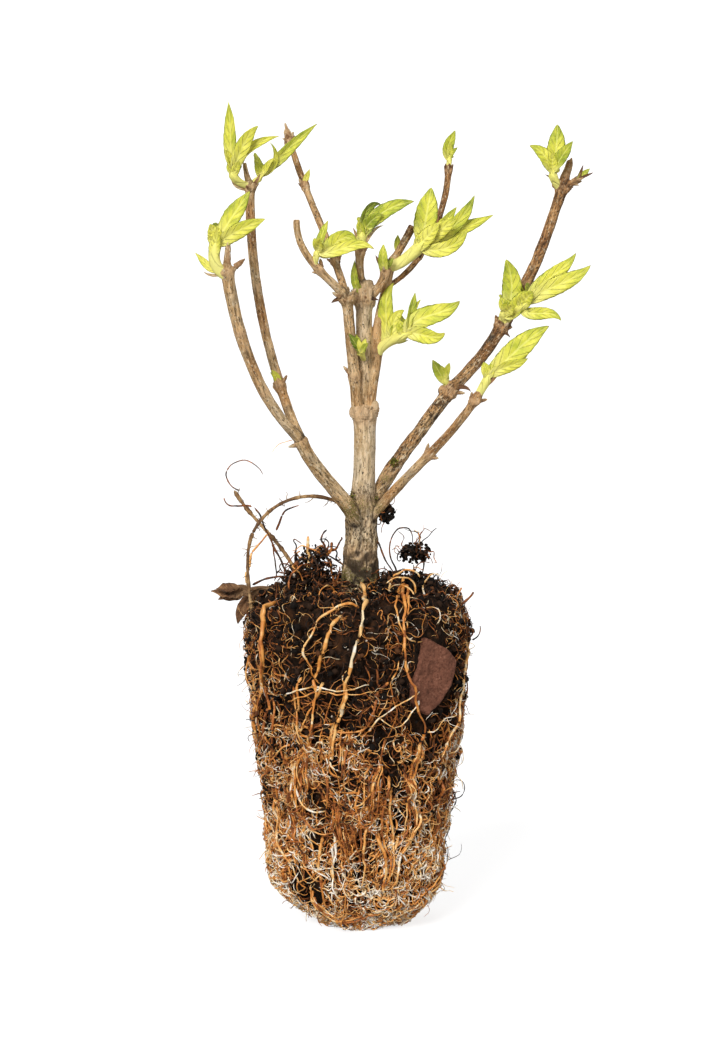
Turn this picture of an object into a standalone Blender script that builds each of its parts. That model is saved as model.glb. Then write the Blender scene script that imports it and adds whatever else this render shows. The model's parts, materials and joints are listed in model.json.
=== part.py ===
"""A young panicle hydrangea lifted out of its pot: bare stems, first leaves and root ball.

Every limb is an arc that leaves its parent at a share of the parent's length, turns
to a heading and leans away from upright by three angles, at its base, middle and tip.
A tuft of leaves is a shoot with blades, each set out by the same rule. Lengths are in
millimetres and angles in degrees. The origin is the middle of the flat underside of
the root ball, +Z is up and the front of the plant looks along -Y.
"""

import math
from dataclasses import dataclass

import bmesh
import bpy
from mathutils import Matrix, Vector, noise

MM = 0.001
GAP = 0.3  # clearance between pieces that touch

# Root ball, the shape of the nursery liner it grew in
BALL_HEIGHT = 136.5
BALL_RADIUS = 45.3  # at the widest, under the rim
BALL_WAIST_RADIUS = 34.0  # where the sides turn under
BALL_FOOT_RADIUS = 17.0  # flat underside
BALL_WIDEST_AT = 113.0
BALL_WAIST_AT = 20.0
BALL_LEAN = -3.2  # sideways shift of its middle from the underside
BALL_UNEVEN = 1.3
BALL_TOP_UNEVEN = 0.8
BALL_COARSE = 13.0  # size of its dents
BALL_FINE = 5.0
BALL_SIDES = 36
BALL_SIDE_RINGS = 10
# Rings under the waist and over the widest: share of the height there, share of the radius
BALL_TURN_UNDER = ((0.33, 0.7), (0.62, 0.91))
BALL_SHOULDER = ((0.5, 0.985), (0.78, 0.94), (0.94, 0.83), (1.0, 0.58), (1.0, 0.2))

# Stone held in the front of the root ball
STONE_SIZE = (17.0, 8.0, 31.0)
STONE_PLACE = (27.2, -30.4, 104.5)
STONE_TURN = 44.0
STONE_TILT = 11.0
STONE_SEED = 3.0

# Limb and blade sections
LIMB_SIDES = 8
RING_SPACING = 5.5
KNUCKLE_SWELL = 0.14
KNUCKLE_REACH = 3.0
BLADE_SIDES = 6
BLADE_THICKNESS = 1.3
ROUTE_STEPS = 24
BLADE_OUTLINE = ((0.0, 0.45), (0.2, 0.82), (0.45, 1.0), (0.75, 0.66), (1.0, 0.14))

# Colour, roughness and metallic value of each finish
FINISHES = {
    "old_bark": ((0.33, 0.26, 0.19), 0.88, 0.0),
    "young_bark": ((0.27, 0.16, 0.09), 0.72, 0.0),
    "young_leaf": ((0.55, 0.66, 0.09), 0.55, 0.0),
    "root_mat": ((0.31, 0.17, 0.08), 0.92, 0.0),
    "soil": ((0.03, 0.022, 0.016), 0.95, 0.0),
    "stone": ((0.15, 0.07, 0.055), 0.8, 0.0),
    "dead_leaf": ((0.2, 0.08, 0.04), 0.85, 0.0),
}


@dataclass(frozen=True)
class Limb:
    """A tapering limb: what it springs from, the way it grows and its diameters."""

    name: str
    parent: str
    at: float
    heading: float
    leans: tuple
    length: float
    base: float
    tip: float
    clear_of: tuple = ()
    finish: str = "young_bark"

    @property
    def neighbours(self):
        """The pieces made before it that it is cut back from."""
        return ((self.parent,) if self.parent else ()) + self.clear_of


@dataclass(frozen=True)
class Blade:
    """A leaf: where on the shoot it springs, the way it grows, its size and its roll."""

    at: float
    heading: float
    leans: tuple
    length: float
    width: float
    roll: float = 60.0


@dataclass(frozen=True)
class Tuft:
    """A mass of leaves: a short shoot on a limb, and its blades."""

    shoot: Limb
    blades: tuple
    finish: str = "young_leaf"


TRUNK = Limb("trunk", "", 0.0, 0, (0, 2, 3), 39.5, 14.2, 10.8, (), "old_bark")
TRUNK_FOOT = (-2.1, 0.0, 133.2)

STEMS = (
    Limb("centre_stem", "trunk", 0.94, 26, (5, 1, 0), 41.5, 8.9, 8.8, (), "old_bark"),
    Limb("centre_leader", "centre_stem", 0.97, 106, (14, -1, -1), 53.0, 5.4, 7.0, (), "old_bark"),
    Limb("centre_left_stem", "centre_stem", 0.95, -138, (41, 8, 7), 49.5, 4.4, 4.4, ("centre_leader",)),
    Limb("centre_right_stem", "centre_stem", 0.95, 34, (19, 18, 0), 25.0, 4.8, 4.4, ("centre_leader",)),
    Limb("tan_stem", "centre_right_stem", 0.97, 39, (-7, 17, -1), 36.5, 4.4, 3.6),
    Limb("right_cut_stub", "tan_stem", 0.97, 24, (45, 33, 32), 18.0, 3.2, 3.0),
    Limb("left_cut_stub", "centre_left_stem", 0.97, -155, (42, 42, -4), 39.5, 3.6, 2.6),
    Limb("tall_twig", "centre_left_stem", 0.97, 135, (21, 31, 20), 72.5, 3.6, 2.6, ("left_cut_stub",)),
    Limb("centre_top_twig", "centre_leader", 0.97, -114, (57, 8, -18), 16.5, 2.8, 4.0),
    Limb("right_twig", "centre_leader", 0.82, -46, (83, 27, 36), 20.0, 4.0, 4.0, ("tan_stem",)),
    Limb("back_twig", "tan_stem", 0.72, 47, (73, 38, 4), 64.0, 2.2, 2.8, ("right_cut_stub",)),
)

BOUGHS = (
    Limb("left_bough", "trunk", 0.84, -144, (63, 42, 31), 45.0, 6.0, 5.2, ("centre_stem",), "old_bark"),
    Limb("left_outer_bough", "left_bough", 0.98, -147, (49, 24, 9), 79.5, 4.0, 5.0),
    Limb("left_inner_bough", "left_bough", 0.98, 149, (27, 13, -2), 104.5, 3.9, 3.6, ("left_outer_bough",)),
    Limb("left_outer_tip", "left_outer_bough", 0.98, -70, (13, 2, -5), 10.5, 2.4, 1.2),
    Limb("left_inner_tip", "left_inner_bough", 0.98, -169, (14, 14, -3), 11.5, 2.4, 1.2),
    Limb("right_bough", "trunk", 0.86, 18, (39, 37, 40), 62.0, 5.8, 5.0, ("centre_stem",), "old_bark"),
    Limb("right_bough_middle", "right_bough", 0.98, 17, (49, 41, 31), 34.0, 5.0, 4.8),
    Limb("right_bough_upper", "right_bough_middle", 0.98, 26, (38, 25, 18), 63.0, 4.8, 4.4),
    Limb("right_top_tip", "right_bough_upper", 0.98, 20, (20, 16, 13), 13.0, 2.8, 1.6),
    Limb("right_top_spur", "right_bough_upper", 0.98, -22, (72, 68, 64), 8.0, 2.2, 1.6, ("right_top_tip",)),
    Limb(
        "right_lower_bough", "trunk", 0.88, -29, (67, 43, 42), 73.5, 3.4, 3.2,
        ("right_bough", "centre_stem"),
    ),
)

LOOSE_ROOTS = (
    Limb("loose_root", "trunk", 0.76, -169, (38, 98, 163), 56.5, 1.9, 1.5, ("left_bough",), "root_mat"),
    Limb(
        "loose_root_end", "loose_root", 0.98, 180, (165, 186, 176), 41.0, 1.5, 1.2,
        ("root_ball",), "root_mat",
    ),
)

KNOBBLY_ROOT = Limb(
    "knobbly_root", "", 0.0, 162, (13, 44, 31), 47.5, 1.6, 1.3,
    ("root_ball", "loose_root"), "root_mat",
)
KNOBBLY_ROOT_FOOT = (-26.1, 6.0, 136.0)

TUFTS = (
    Tuft(
        Limb(
            "leaves_left_top", "left_inner_bough", 0.985, -146, (78, 54, 1), 12.5, 2.4, 2.0,
            ("left_inner_tip",),
        ),
        (
            Blade(0.95, -100, (24, -6), 27.0, 5.0),
            Blade(0.75, -48, (21, 58), 25.0, 5.4),
            Blade(0.2, 36, (-17, 98), 29.5, 3.4),
        ),
    ),
    Tuft(
        Limb(
            "leaves_left_top_arm", "left_inner_bough", 0.985, 47, (59, 63, 66), 8.0, 2.0, 2.0,
            ("leaves_left_top",),
        ),
        (
            Blade(0.9, 31, (41, 63), 33.5, 4.2),
            Blade(0.9, -20, (49, 24), 13.0, 2.8),
        ),
    ),
    Tuft(
        Limb(
            "leaves_left", "left_outer_bough", 0.95, -166, (72, 4, -32), 19.0, 3.6, 3.0,
            ("left_outer_tip",),
        ),
        (
            Blade(0.8, 5, (40, 30), 21.5, 5.2),
            Blade(0.98, 22, (60, 82), 18.0, 5.0),
            Blade(0.3, 133, (43, 66), 18.0, 3.4),
        ),
    ),
    Tuft(
        Limb("leaves_centre_left", "left_cut_stub", 0.5, -50, (30, 20, 10), 7.0, 2.4, 2.2, ("tall_twig",)),
        (
            Blade(0.9, -61, (-3, 37), 15.5, 3.8),
            Blade(0.9, -15, (15, 130), 16.0, 4.8),
            Blade(0.9, 128, (74, 20), 9.0, 2.6),
        ),
    ),
    Tuft(
        Limb("leaves_centre", "centre_top_twig", 0.93, -51, (1, 17, 34), 8.5, 3.4, 3.0),
        (
            Blade(0.5, -45, (-22, 89), 19.0, 4.0),
            Blade(0.95, 17, (35, 84), 23.5, 5.6),
            Blade(0.3, 116, (65, 39), 7.5, 1.8),
        ),
    ),
    Tuft(
        Limb(
            "leaves_right", "tan_stem", 0.94, -10, (81, 48, 55), 21.0, 4.0, 3.2,
            ("right_cut_stub", "back_twig"),
        ),
        (
            Blade(0.7, -29, (28, 11), 24.5, 6.4),
            Blade(0.97, -41, (52, 66), 16.5, 4.2),
            Blade(0.85, 17, (85, 18), 29.5, 4.2),
            Blade(0.8, -3, (77, 60), 30.0, 4.2),
            Blade(0.6, -28, (110, 27), 27.5, 3.4),
        ),
    ),
    Tuft(
        Limb(
            "leaves_mid_right", "centre_right_stem", 0.93, -37, (32, 66, 66), 20.0, 3.6, 2.8,
            ("tan_stem",),
        ),
        (
            Blade(0.95, -19, (64, 48), 24.5, 7.6),
            Blade(0.9, -19, (98, 73), 15.5, 3.6),
            Blade(0.8, 21, (11, 23), 17.0, 3.6),
            Blade(0.5, -59, (11, 78), 20.0, 3.0),
            Blade(0.28, -58, (-2, 44), 26.5, 5.6),
        ),
    ),
    Tuft(
        Limb("leaves_centre_low", "centre_leader", 0.42, -96, (56, 67, 74), 12.0, 2.0, 2.0),
        (
            Blade(0.8, -128, (32, 60), 14.0, 3.6),
            Blade(0.8, -71, (8, 71), 11.0, 2.6),
        ),
    ),
    Tuft(
        Limb(
            "leaves_right_top", "right_bough_upper", 0.96, -138, (51, 35, 16), 10.5, 2.8, 2.4,
            ("right_top_tip",),
        ),
        (
            Blade(0.9, -147, (34, 65), 15.5, 4.2),
            Blade(0.95, -66, (-4, 19), 17.0, 6.8),
            Blade(0.9, 52, (38, 59), 16.5, 3.6),
        ),
    ),
    Tuft(
        Limb(
            "leaves_right_inner", "right_bough_middle", 0.96, -76, (14, 37, 55), 9.5, 2.4, 2.4,
            ("right_bough_upper",),
        ),
        (
            Blade(0.9, -87, (62, -37), 22.5, 6.8),
            Blade(0.8, 114, (52, 52), 11.0, 2.8),
        ),
    ),
    Tuft(
        Limb(
            "leaves_right_outer", "right_bough_middle", 0.96, -36, (38, 53, 65), 18.0, 2.4, 2.4,
            ("right_bough_upper", "leaves_right_inner"),
        ),
        (
            Blade(0.95, -14, (50, 37), 26.5, 5.6),
            Blade(0.95, 9, (46, 74), 28.5, 4.8),
            Blade(0.6, -37, (89, 115), 19.5, 4.2),
        ),
    ),
    Tuft(
        Limb("leaves_lower_right", "right_lower_bough", 0.96, -21, (34, 30, 26), 11.0, 3.0, 2.6),
        (
            Blade(0.9, -79, (54, 37), 10.0, 3.0),
            Blade(0.95, 12, (58, 45), 29.5, 8.0),
        ),
    ),
    Tuft(
        Limb(
            "leaf_right_bough", "right_bough", 0.95, -114, (16, 29, 50), 8.5, 2.0, 2.0,
            ("right_bough_middle",),
        ),
        (Blade(0.7, -138, (33, 51), 12.0, 3.6),),
    ),
    Tuft(
        Limb("leaves_back", "back_twig", 0.96, 52, (4, 11, 21), 6.5, 2.0, 1.8),
        (
            Blade(0.7, -64, (-31, 75), 15.0, 3.4),
            Blade(0.7, 63, (67, 40), 10.5, 2.6),
        ),
    ),
)

# Wilted leaves that hang over the left of the rim
FALLEN_FOOT = (-36.0, 2.0, 134.0)
FALLEN_LEAVES = Tuft(
    Limb("fallen_leaves", "", 0.0, -167, (46, 92, 98), 14.0, 1.8, 1.8, ("root_ball",)),
    (
        Blade(0.85, 176, (96, 118), 19.0, 5.5, 35.0),
        Blade(0.6, -160, (122, 172), 18.5, 5.0, 70.0),
    ),
    "dead_leaf",
)

# Clods that still cling to lifted roots beside the trunk: middle, size and leaning stalk
CLODS = {
    "soil_clod_near": ((8.0, -1.5, 165.5), (7.2, 6.0, 7.6), 31.0, 8.0),
    "soil_clod_far": ((22.0, 6.0, 150.0), (11.0, 7.0, 7.4), 17.0, -4.0),
}
CLOD_STALK = 1.8
LUMP_UNEVEN = 0.16


def lean_at(leans, share):
    """The lean at a share of the length, through two or three given leans."""
    if len(leans) == 2:
        return leans[0] + (leans[1] - leans[0]) * share
    base, middle, tip = leans
    past = 2 * share - 1
    return base * (share - 1) * past + middle * 4 * share * (1 - share) + tip * share * past


def route(foot, grown):
    """Evenly spaced points along a limb or blade that starts at foot."""
    turn = math.radians(grown.heading)
    stride = grown.length / ROUTE_STEPS
    points = [Vector(foot)]
    for step in range(ROUTE_STEPS):
        lean = math.radians(lean_at(grown.leans, (step + 0.5) / ROUTE_STEPS))
        level = math.sin(lean)
        way = Vector((level * math.cos(turn), level * math.sin(turn), math.cos(lean)))
        points.append(points[-1] + stride * way)
    return points


def point_on(points, share):
    """The point at a share of the way along evenly spaced points."""
    place = share * (len(points) - 1)
    low = min(int(place), len(points) - 2)
    return points[low].lerp(points[low + 1], place - low)


def ring_matrix(points, index, heading, roll):
    """A frame across the route at one of its points, its first axis level and across the heading."""
    before = points[max(index - 1, 0)]
    after = points[min(index + 1, len(points) - 1)]
    along = (after - before).normalized()
    turn = math.radians(heading)
    across = Vector((-math.sin(turn), math.cos(turn), 0.0))
    across = Matrix.Rotation(math.radians(roll), 3, along) @ across
    through = along.cross(across)
    frame = Matrix((across, through, along)).transposed().to_4x4()
    frame.translation = points[index]
    return frame


def ring_of(bm, frame, sides):
    """The edges of a unit circle set into the mesh by frame."""
    made = bmesh.ops.create_circle(bm, segments=sides, radius=1.0, matrix=frame)
    return {edge for vert in made["verts"] for edge in vert.link_edges}


def closed_mesh(bm, name, rings):
    """Bridges rings of edges in order, caps the ends and returns the mesh in metres."""
    for lower, upper in zip(rings, rings[1:]):
        bmesh.ops.bridge_loops(bm, edges=list(lower | upper))
    for end in (rings[0], rings[-1]):
        bmesh.ops.contextual_create(bm, geom=list(end))
    bmesh.ops.recalc_face_normals(bm, faces=bm.faces)
    return mesh_in_metres(bm, name)


def mesh_in_metres(bm, name):
    """Turns a mesh in millimetres into one in metres and frees its source."""
    bmesh.ops.scale(bm, vec=(MM, MM, MM), verts=bm.verts)
    mesh = bpy.data.meshes.new(name)
    bm.to_mesh(mesh)
    bm.free()
    return mesh


def swept_mesh(name, foot, points, sections, grown, roll, sides):
    """A closed mesh about foot, through rings across the points, each with two half widths."""
    bm = bmesh.new()
    rings = []
    home = Matrix.Translation(-foot)
    for index, (half_width, half_depth) in enumerate(sections):
        frame = home @ ring_matrix(points, index, grown.heading, roll)
        frame = frame @ Matrix.Diagonal((half_width, half_depth, 1.0, 1.0))
        rings.append(ring_of(bm, frame, sides))
    return closed_mesh(bm, name, rings)


def limb_sections(limb, count, grow):
    """Half widths of a limb that tapers evenly and swells at the knuckle at its tip."""
    sections = []
    for index in range(count):
        share = index / (count - 1)
        radius = (limb.base + (limb.tip - limb.base) * share) / 2
        to_tip = (1 - share) * limb.length / KNUCKLE_REACH
        radius = radius * (1 + KNUCKLE_SWELL * math.exp(-to_tip * to_tip)) + grow
        sections.append((radius, radius))
    return sections


def limb_mesh(name, limb, foot, grow=0.0):
    """The limb's mesh, fatter by grow and longer by it at both ends."""
    count = max(3, round(limb.length / RING_SPACING) + 1)
    every = route(foot, limb)
    points = [point_on(every, index / (count - 1)) for index in range(count)]
    points[0] = points[0] - grow * (points[1] - points[0]).normalized()
    points[-1] = points[-1] + grow * (points[-1] - points[-2]).normalized()
    return swept_mesh(name, foot, points, limb_sections(limb, count, grow), limb, 0.0, LIMB_SIDES)


def blade_mesh(name, blade, foot, grow=0.0):
    """A leaf as a thick blade, widest before its middle and narrow at its tip."""
    every = route(foot, blade)
    points = [point_on(every, share) for share, _ in BLADE_OUTLINE]
    sections = []
    for _, full in BLADE_OUTLINE:
        half_depth = BLADE_THICKNESS / 4 * (1 + full)
        sections.append((blade.width / 2 * full + grow, half_depth + grow))
    return swept_mesh(name, foot, points, sections, blade, blade.roll, BLADE_SIDES)


def finish(name):
    """The material of that name, made once."""
    if name in bpy.data.materials:
        return bpy.data.materials[name]
    colour, roughness, metallic = FINISHES[name]
    material = bpy.data.materials.new(name)
    material.use_nodes = True
    shader = material.node_tree.nodes["Principled BSDF"]
    shader.inputs["Base Color"].default_value = (*colour, 1.0)
    shader.inputs["Roughness"].default_value = roughness
    shader.inputs["Metallic"].default_value = metallic
    return material


class Plant:
    """The pieces made so far, with their routes and the cutters that keep others clear."""

    def __init__(self):
        """Starts with an empty that carries every piece."""
        self.carrier = bpy.data.objects.new("plant", None)
        bpy.context.collection.objects.link(self.carrier)
        self.routes = {}
        self.cutters = {}

    def place(self, mesh, foot, finish_name):
        """A visible piece at its foot, carried by the plant."""
        mesh.materials.append(finish(finish_name))
        mesh.shade_smooth()
        mesh.set_sharp_from_angle(angle=math.radians(50))
        piece = bpy.data.objects.new(mesh.name, mesh)
        bpy.context.collection.objects.link(piece)
        piece.parent = self.carrier
        piece.location = Vector(foot) * MM
        return piece

    def helper(self, name, mesh, foot):
        """A hidden shape that cuts or joins another piece."""
        helper = bpy.data.objects.new(name, mesh)
        bpy.context.collection.objects.link(helper)
        helper.parent = self.carrier
        helper.location = Vector(foot) * MM
        helper.hide_render = True
        helper.display_type = "WIRE"
        return helper

    def join(self, piece, helper):
        """Adds the helper's shape to the piece."""
        joined = piece.modifiers.new("join_" + helper.name, "BOOLEAN")
        joined.operation = "UNION"
        joined.object = helper

    def clear(self, piece, names):
        """Cuts the piece back from each named neighbour."""
        for name in names:
            for cutter in self.cutters[name]:
                cut = piece.modifiers.new("clear_" + cutter.name, "BOOLEAN")
                cut.operation = "DIFFERENCE"
                cut.object = cutter

    def foot_of(self, limb, foot):
        """Where a limb starts: at the given foot, or on its parent where there is none."""
        if foot is None:
            return point_on(self.routes[limb.parent], limb.at)
        return Vector(foot)

    def add_limb(self, limb, foot=None):
        """Builds a limb, cut back from its parent and the neighbours it names."""
        foot = self.foot_of(limb, foot)
        self.routes[limb.name] = route(foot, limb)
        piece = self.place(limb_mesh(limb.name, limb, foot), foot, limb.finish)
        self.clear(piece, limb.neighbours)
        room = limb.name + "_room"
        self.cutters[limb.name] = [self.helper(room, limb_mesh(room, limb, foot, GAP), foot)]

    def add_tuft(self, tuft, foot=None):
        """Builds a mass of leaves: its shoot with every blade joined on."""
        shoot = tuft.shoot
        foot = self.foot_of(shoot, foot)
        self.routes[shoot.name] = route(foot, shoot)
        piece = self.place(limb_mesh(shoot.name, shoot, foot), foot, tuft.finish)
        room = shoot.name + "_room"
        rooms = [self.helper(room, limb_mesh(room, shoot, foot, GAP), foot)]
        for count, blade in enumerate(tuft.blades, start=1):
            name = f"{shoot.name}_blade_{count}"
            spring = point_on(self.routes[shoot.name], blade.at)
            self.join(piece, self.helper(name, blade_mesh(name, blade, spring), spring))
            room = name + "_room"
            rooms.append(self.helper(room, blade_mesh(room, blade, spring, GAP), spring))
        self.clear(piece, shoot.neighbours)
        self.cutters[shoot.name] = rooms


def ball_rings():
    """Height and radius of the root ball's rings, from its underside to the middle of its top."""
    rings = [(0.0, BALL_FOOT_RADIUS)]
    for step in range(BALL_SIDE_RINGS):
        share = step / (BALL_SIDE_RINGS - 1)
        height = BALL_WAIST_AT + (BALL_WIDEST_AT - BALL_WAIST_AT) * share
        rings.append((height, BALL_WAIST_RADIUS + (BALL_RADIUS - BALL_WAIST_RADIUS) * share))
    rings[1:1] = [(BALL_WAIST_AT * rise, BALL_WAIST_RADIUS * full) for rise, full in BALL_TURN_UNDER]
    shoulder = BALL_HEIGHT - BALL_WIDEST_AT
    rings += [(BALL_WIDEST_AT + shoulder * rise, BALL_RADIUS * full) for rise, full in BALL_SHOULDER]
    return rings


def push_unevenly(vert, middle, height, grow):
    """Moves a point of the root ball in or out, and up or down on its top."""
    out = Vector((vert.co.x - middle, vert.co.y, 0.0)).normalized()
    at = vert.co - grow * out
    at.z = height
    push = noise.noise(at / BALL_COARSE) + 0.45 * noise.noise(at / BALL_FINE)
    vert.co += BALL_UNEVEN * push * out
    if height == BALL_HEIGHT:
        vert.co.z += BALL_TOP_UNEVEN * noise.noise(at / BALL_FINE)


def ball_mesh(name, grow=0.0):
    """The root ball as a turned shape, uneven but for its underside and where the trunk stands."""
    bm = bmesh.new()
    shape = ball_rings()
    rings = []
    for index, (height, radius) in enumerate(shape):
        middle = BALL_LEAN * min(1.0, height / BALL_WAIST_AT)
        lift = grow if height >= BALL_WIDEST_AT else 0.0
        size = Matrix.Diagonal((radius + grow, radius + grow, 1.0, 1.0))
        edges = ring_of(bm, Matrix.Translation((middle, 0.0, height + lift)) @ size, BALL_SIDES)
        if 0 < index < len(shape) - 1:
            for vert in {vert for edge in edges for vert in edge.verts}:
                push_unevenly(vert, middle, height, grow)
        rings.append(edges)
    return closed_mesh(bm, name, rings)


def lump_mesh(name, size, seed, grow=0.0):
    """An uneven rounded lump of the given size about its middle."""
    bm = bmesh.new()
    made = bmesh.ops.create_icosphere(bm, subdivisions=2, radius=1.0)
    for vert in made["verts"]:
        out = vert.co.normalized()
        push = 1.0 + LUMP_UNEVEN * noise.noise(out * 1.7 + Vector((seed, 0.0, 0.0)))
        vert.co = push / 2 * Vector(size) * out + grow * out
    return mesh_in_metres(bm, name)


def add_root_ball(plant):
    """The root ball, with the room of the trunk and of the stone cut out of it."""
    ball = plant.place(ball_mesh("root_ball"), (0.0, 0.0, 0.0), "root_mat")
    fat = ball_mesh("root_ball_room", GAP)
    plant.cutters["root_ball"] = [plant.helper("root_ball_room", fat, (0.0, 0.0, 0.0))]
    plant.clear(ball, ("trunk", "stone_chip"))


def add_stone(plant):
    """The stone in the front of the root ball, and the room it takes."""
    stone = plant.place(lump_mesh("stone_chip", STONE_SIZE, STONE_SEED), STONE_PLACE, "stone")
    fat = lump_mesh("stone_chip_room", STONE_SIZE, STONE_SEED, GAP)
    room = plant.helper("stone_chip_room", fat, STONE_PLACE)
    for piece in (stone, room):
        piece.rotation_euler = (0.0, math.radians(STONE_TILT), math.radians(STONE_TURN))
    plant.cutters["stone_chip"] = [room]


def add_clods(plant):
    """The clods of soil, each on the stalk of a lifted root."""
    for seed, (name, (place, size, reach, lean)) in enumerate(CLODS.items()):
        clod = plant.place(lump_mesh(name, size, float(seed)), place, "soil")
        foot = Vector(place) - Vector((0.0, 0.0, reach))
        stalk = Limb(name + "_stalk", "", 0.0, 0, (lean, 0, -lean), reach, CLOD_STALK, CLOD_STALK)
        plant.join(clod, plant.helper(stalk.name, limb_mesh(stalk.name, stalk, foot), foot))
        plant.clear(clod, ("trunk", "root_ball"))


def main():
    """Clears the scene and builds the plant from the trunk outwards."""
    for old in list(bpy.data.objects):
        bpy.data.objects.remove(old)
    plant = Plant()
    plant.add_limb(TRUNK, TRUNK_FOOT)
    add_stone(plant)
    add_root_ball(plant)
    for limb in STEMS + BOUGHS + LOOSE_ROOTS:
        plant.add_limb(limb)
    plant.add_limb(KNOBBLY_ROOT, KNOBBLY_ROOT_FOOT)
    for tuft in TUFTS:
        plant.add_tuft(tuft)
    plant.add_tuft(FALLEN_LEAVES, FALLEN_FOOT)
    add_clods(plant)


main()
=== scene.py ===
"""A young panicle hydrangea on its bare root ball: bark, first leaves, soil and roots.

The solids of the frame say where every limb and leaf mass is. Their rows are repeated
here, as arcs that leave a parent at a share of its length, turn to a heading and lean
away from upright by two or three angles. Lengths are in millimetres and angles in degrees
until a mesh is finished. +Z is up and the front of the plant looks along -Y.
"""

import itertools
import json
import logging
import math
import random
from collections.abc import Sequence
from dataclasses import dataclass, field
from enum import Enum
from functools import partialmethod

import bmesh
import bpy
import numpy as np
from mathutils import Matrix, Vector

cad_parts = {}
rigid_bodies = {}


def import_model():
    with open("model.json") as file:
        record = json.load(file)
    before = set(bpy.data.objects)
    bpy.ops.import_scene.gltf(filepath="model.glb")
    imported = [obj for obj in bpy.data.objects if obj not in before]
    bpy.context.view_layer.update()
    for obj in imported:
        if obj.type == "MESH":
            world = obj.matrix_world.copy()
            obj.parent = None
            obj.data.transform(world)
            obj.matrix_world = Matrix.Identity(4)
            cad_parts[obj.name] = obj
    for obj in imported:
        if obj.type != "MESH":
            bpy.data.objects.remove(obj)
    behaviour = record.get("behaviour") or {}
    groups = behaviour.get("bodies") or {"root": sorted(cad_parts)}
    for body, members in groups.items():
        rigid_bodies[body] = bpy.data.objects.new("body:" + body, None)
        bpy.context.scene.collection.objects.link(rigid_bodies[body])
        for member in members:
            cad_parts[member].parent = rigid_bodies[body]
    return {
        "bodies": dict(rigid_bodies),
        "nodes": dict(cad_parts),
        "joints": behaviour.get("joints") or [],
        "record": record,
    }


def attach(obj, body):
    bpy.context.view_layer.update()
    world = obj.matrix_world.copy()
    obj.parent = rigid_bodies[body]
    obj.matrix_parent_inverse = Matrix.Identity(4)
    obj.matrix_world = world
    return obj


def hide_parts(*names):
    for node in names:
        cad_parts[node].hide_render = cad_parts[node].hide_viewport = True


LOG = logging.getLogger("plant")
MM = 0.001
BODY = "root"
ROUTE_STEPS = 24
FLOOR = 0.15

Colour = tuple[float, float, float]
Place = tuple[float, float, float]
Stops = tuple[tuple[float, Colour], ...]


class Wire:
    """A socket of a material, whose sums and products add Math nodes to its tree."""

    def __init__(self, bench: "Bench", socket: bpy.types.NodeSocket) -> None:
        """Keeps the socket with the bench that it belongs to."""
        self.bench = bench
        self.socket = socket

    def math(self, operation: str, other: "Wire | float" = 0.0) -> "Wire":
        """Adds a Math node over this value and another.

        Args:
            operation: The node's operation.
            other: Its second input.

        Returns:
            The node's result.
        """
        return self.bench.node("ShaderNodeMath", {"operation": operation}, {0: self, 1: other})

    __add__ = __radd__ = partialmethod(math, "ADD")
    __mul__ = __rmul__ = partialmethod(math, "MULTIPLY")
    __sub__ = partialmethod(math, "SUBTRACT")

    def __rsub__(self, other: float) -> "Wire":
        """Is taken away from a value."""
        return self.bench.node("ShaderNodeMath", {"operation": "SUBTRACT"}, {0: other, 1: self})

    def size(self) -> "Wire":
        """The value without its sign."""
        return self.math("ABSOLUTE")

    def between(self, low: float, high: float) -> "Wire":
        """Rises from 0 at low to 1 at high, and stays there."""
        inputs = {"Value": self, "From Min": low, "From Max": high}
        return self.bench.node("ShaderNodeMapRange", {"clamp": True}, inputs)


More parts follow.
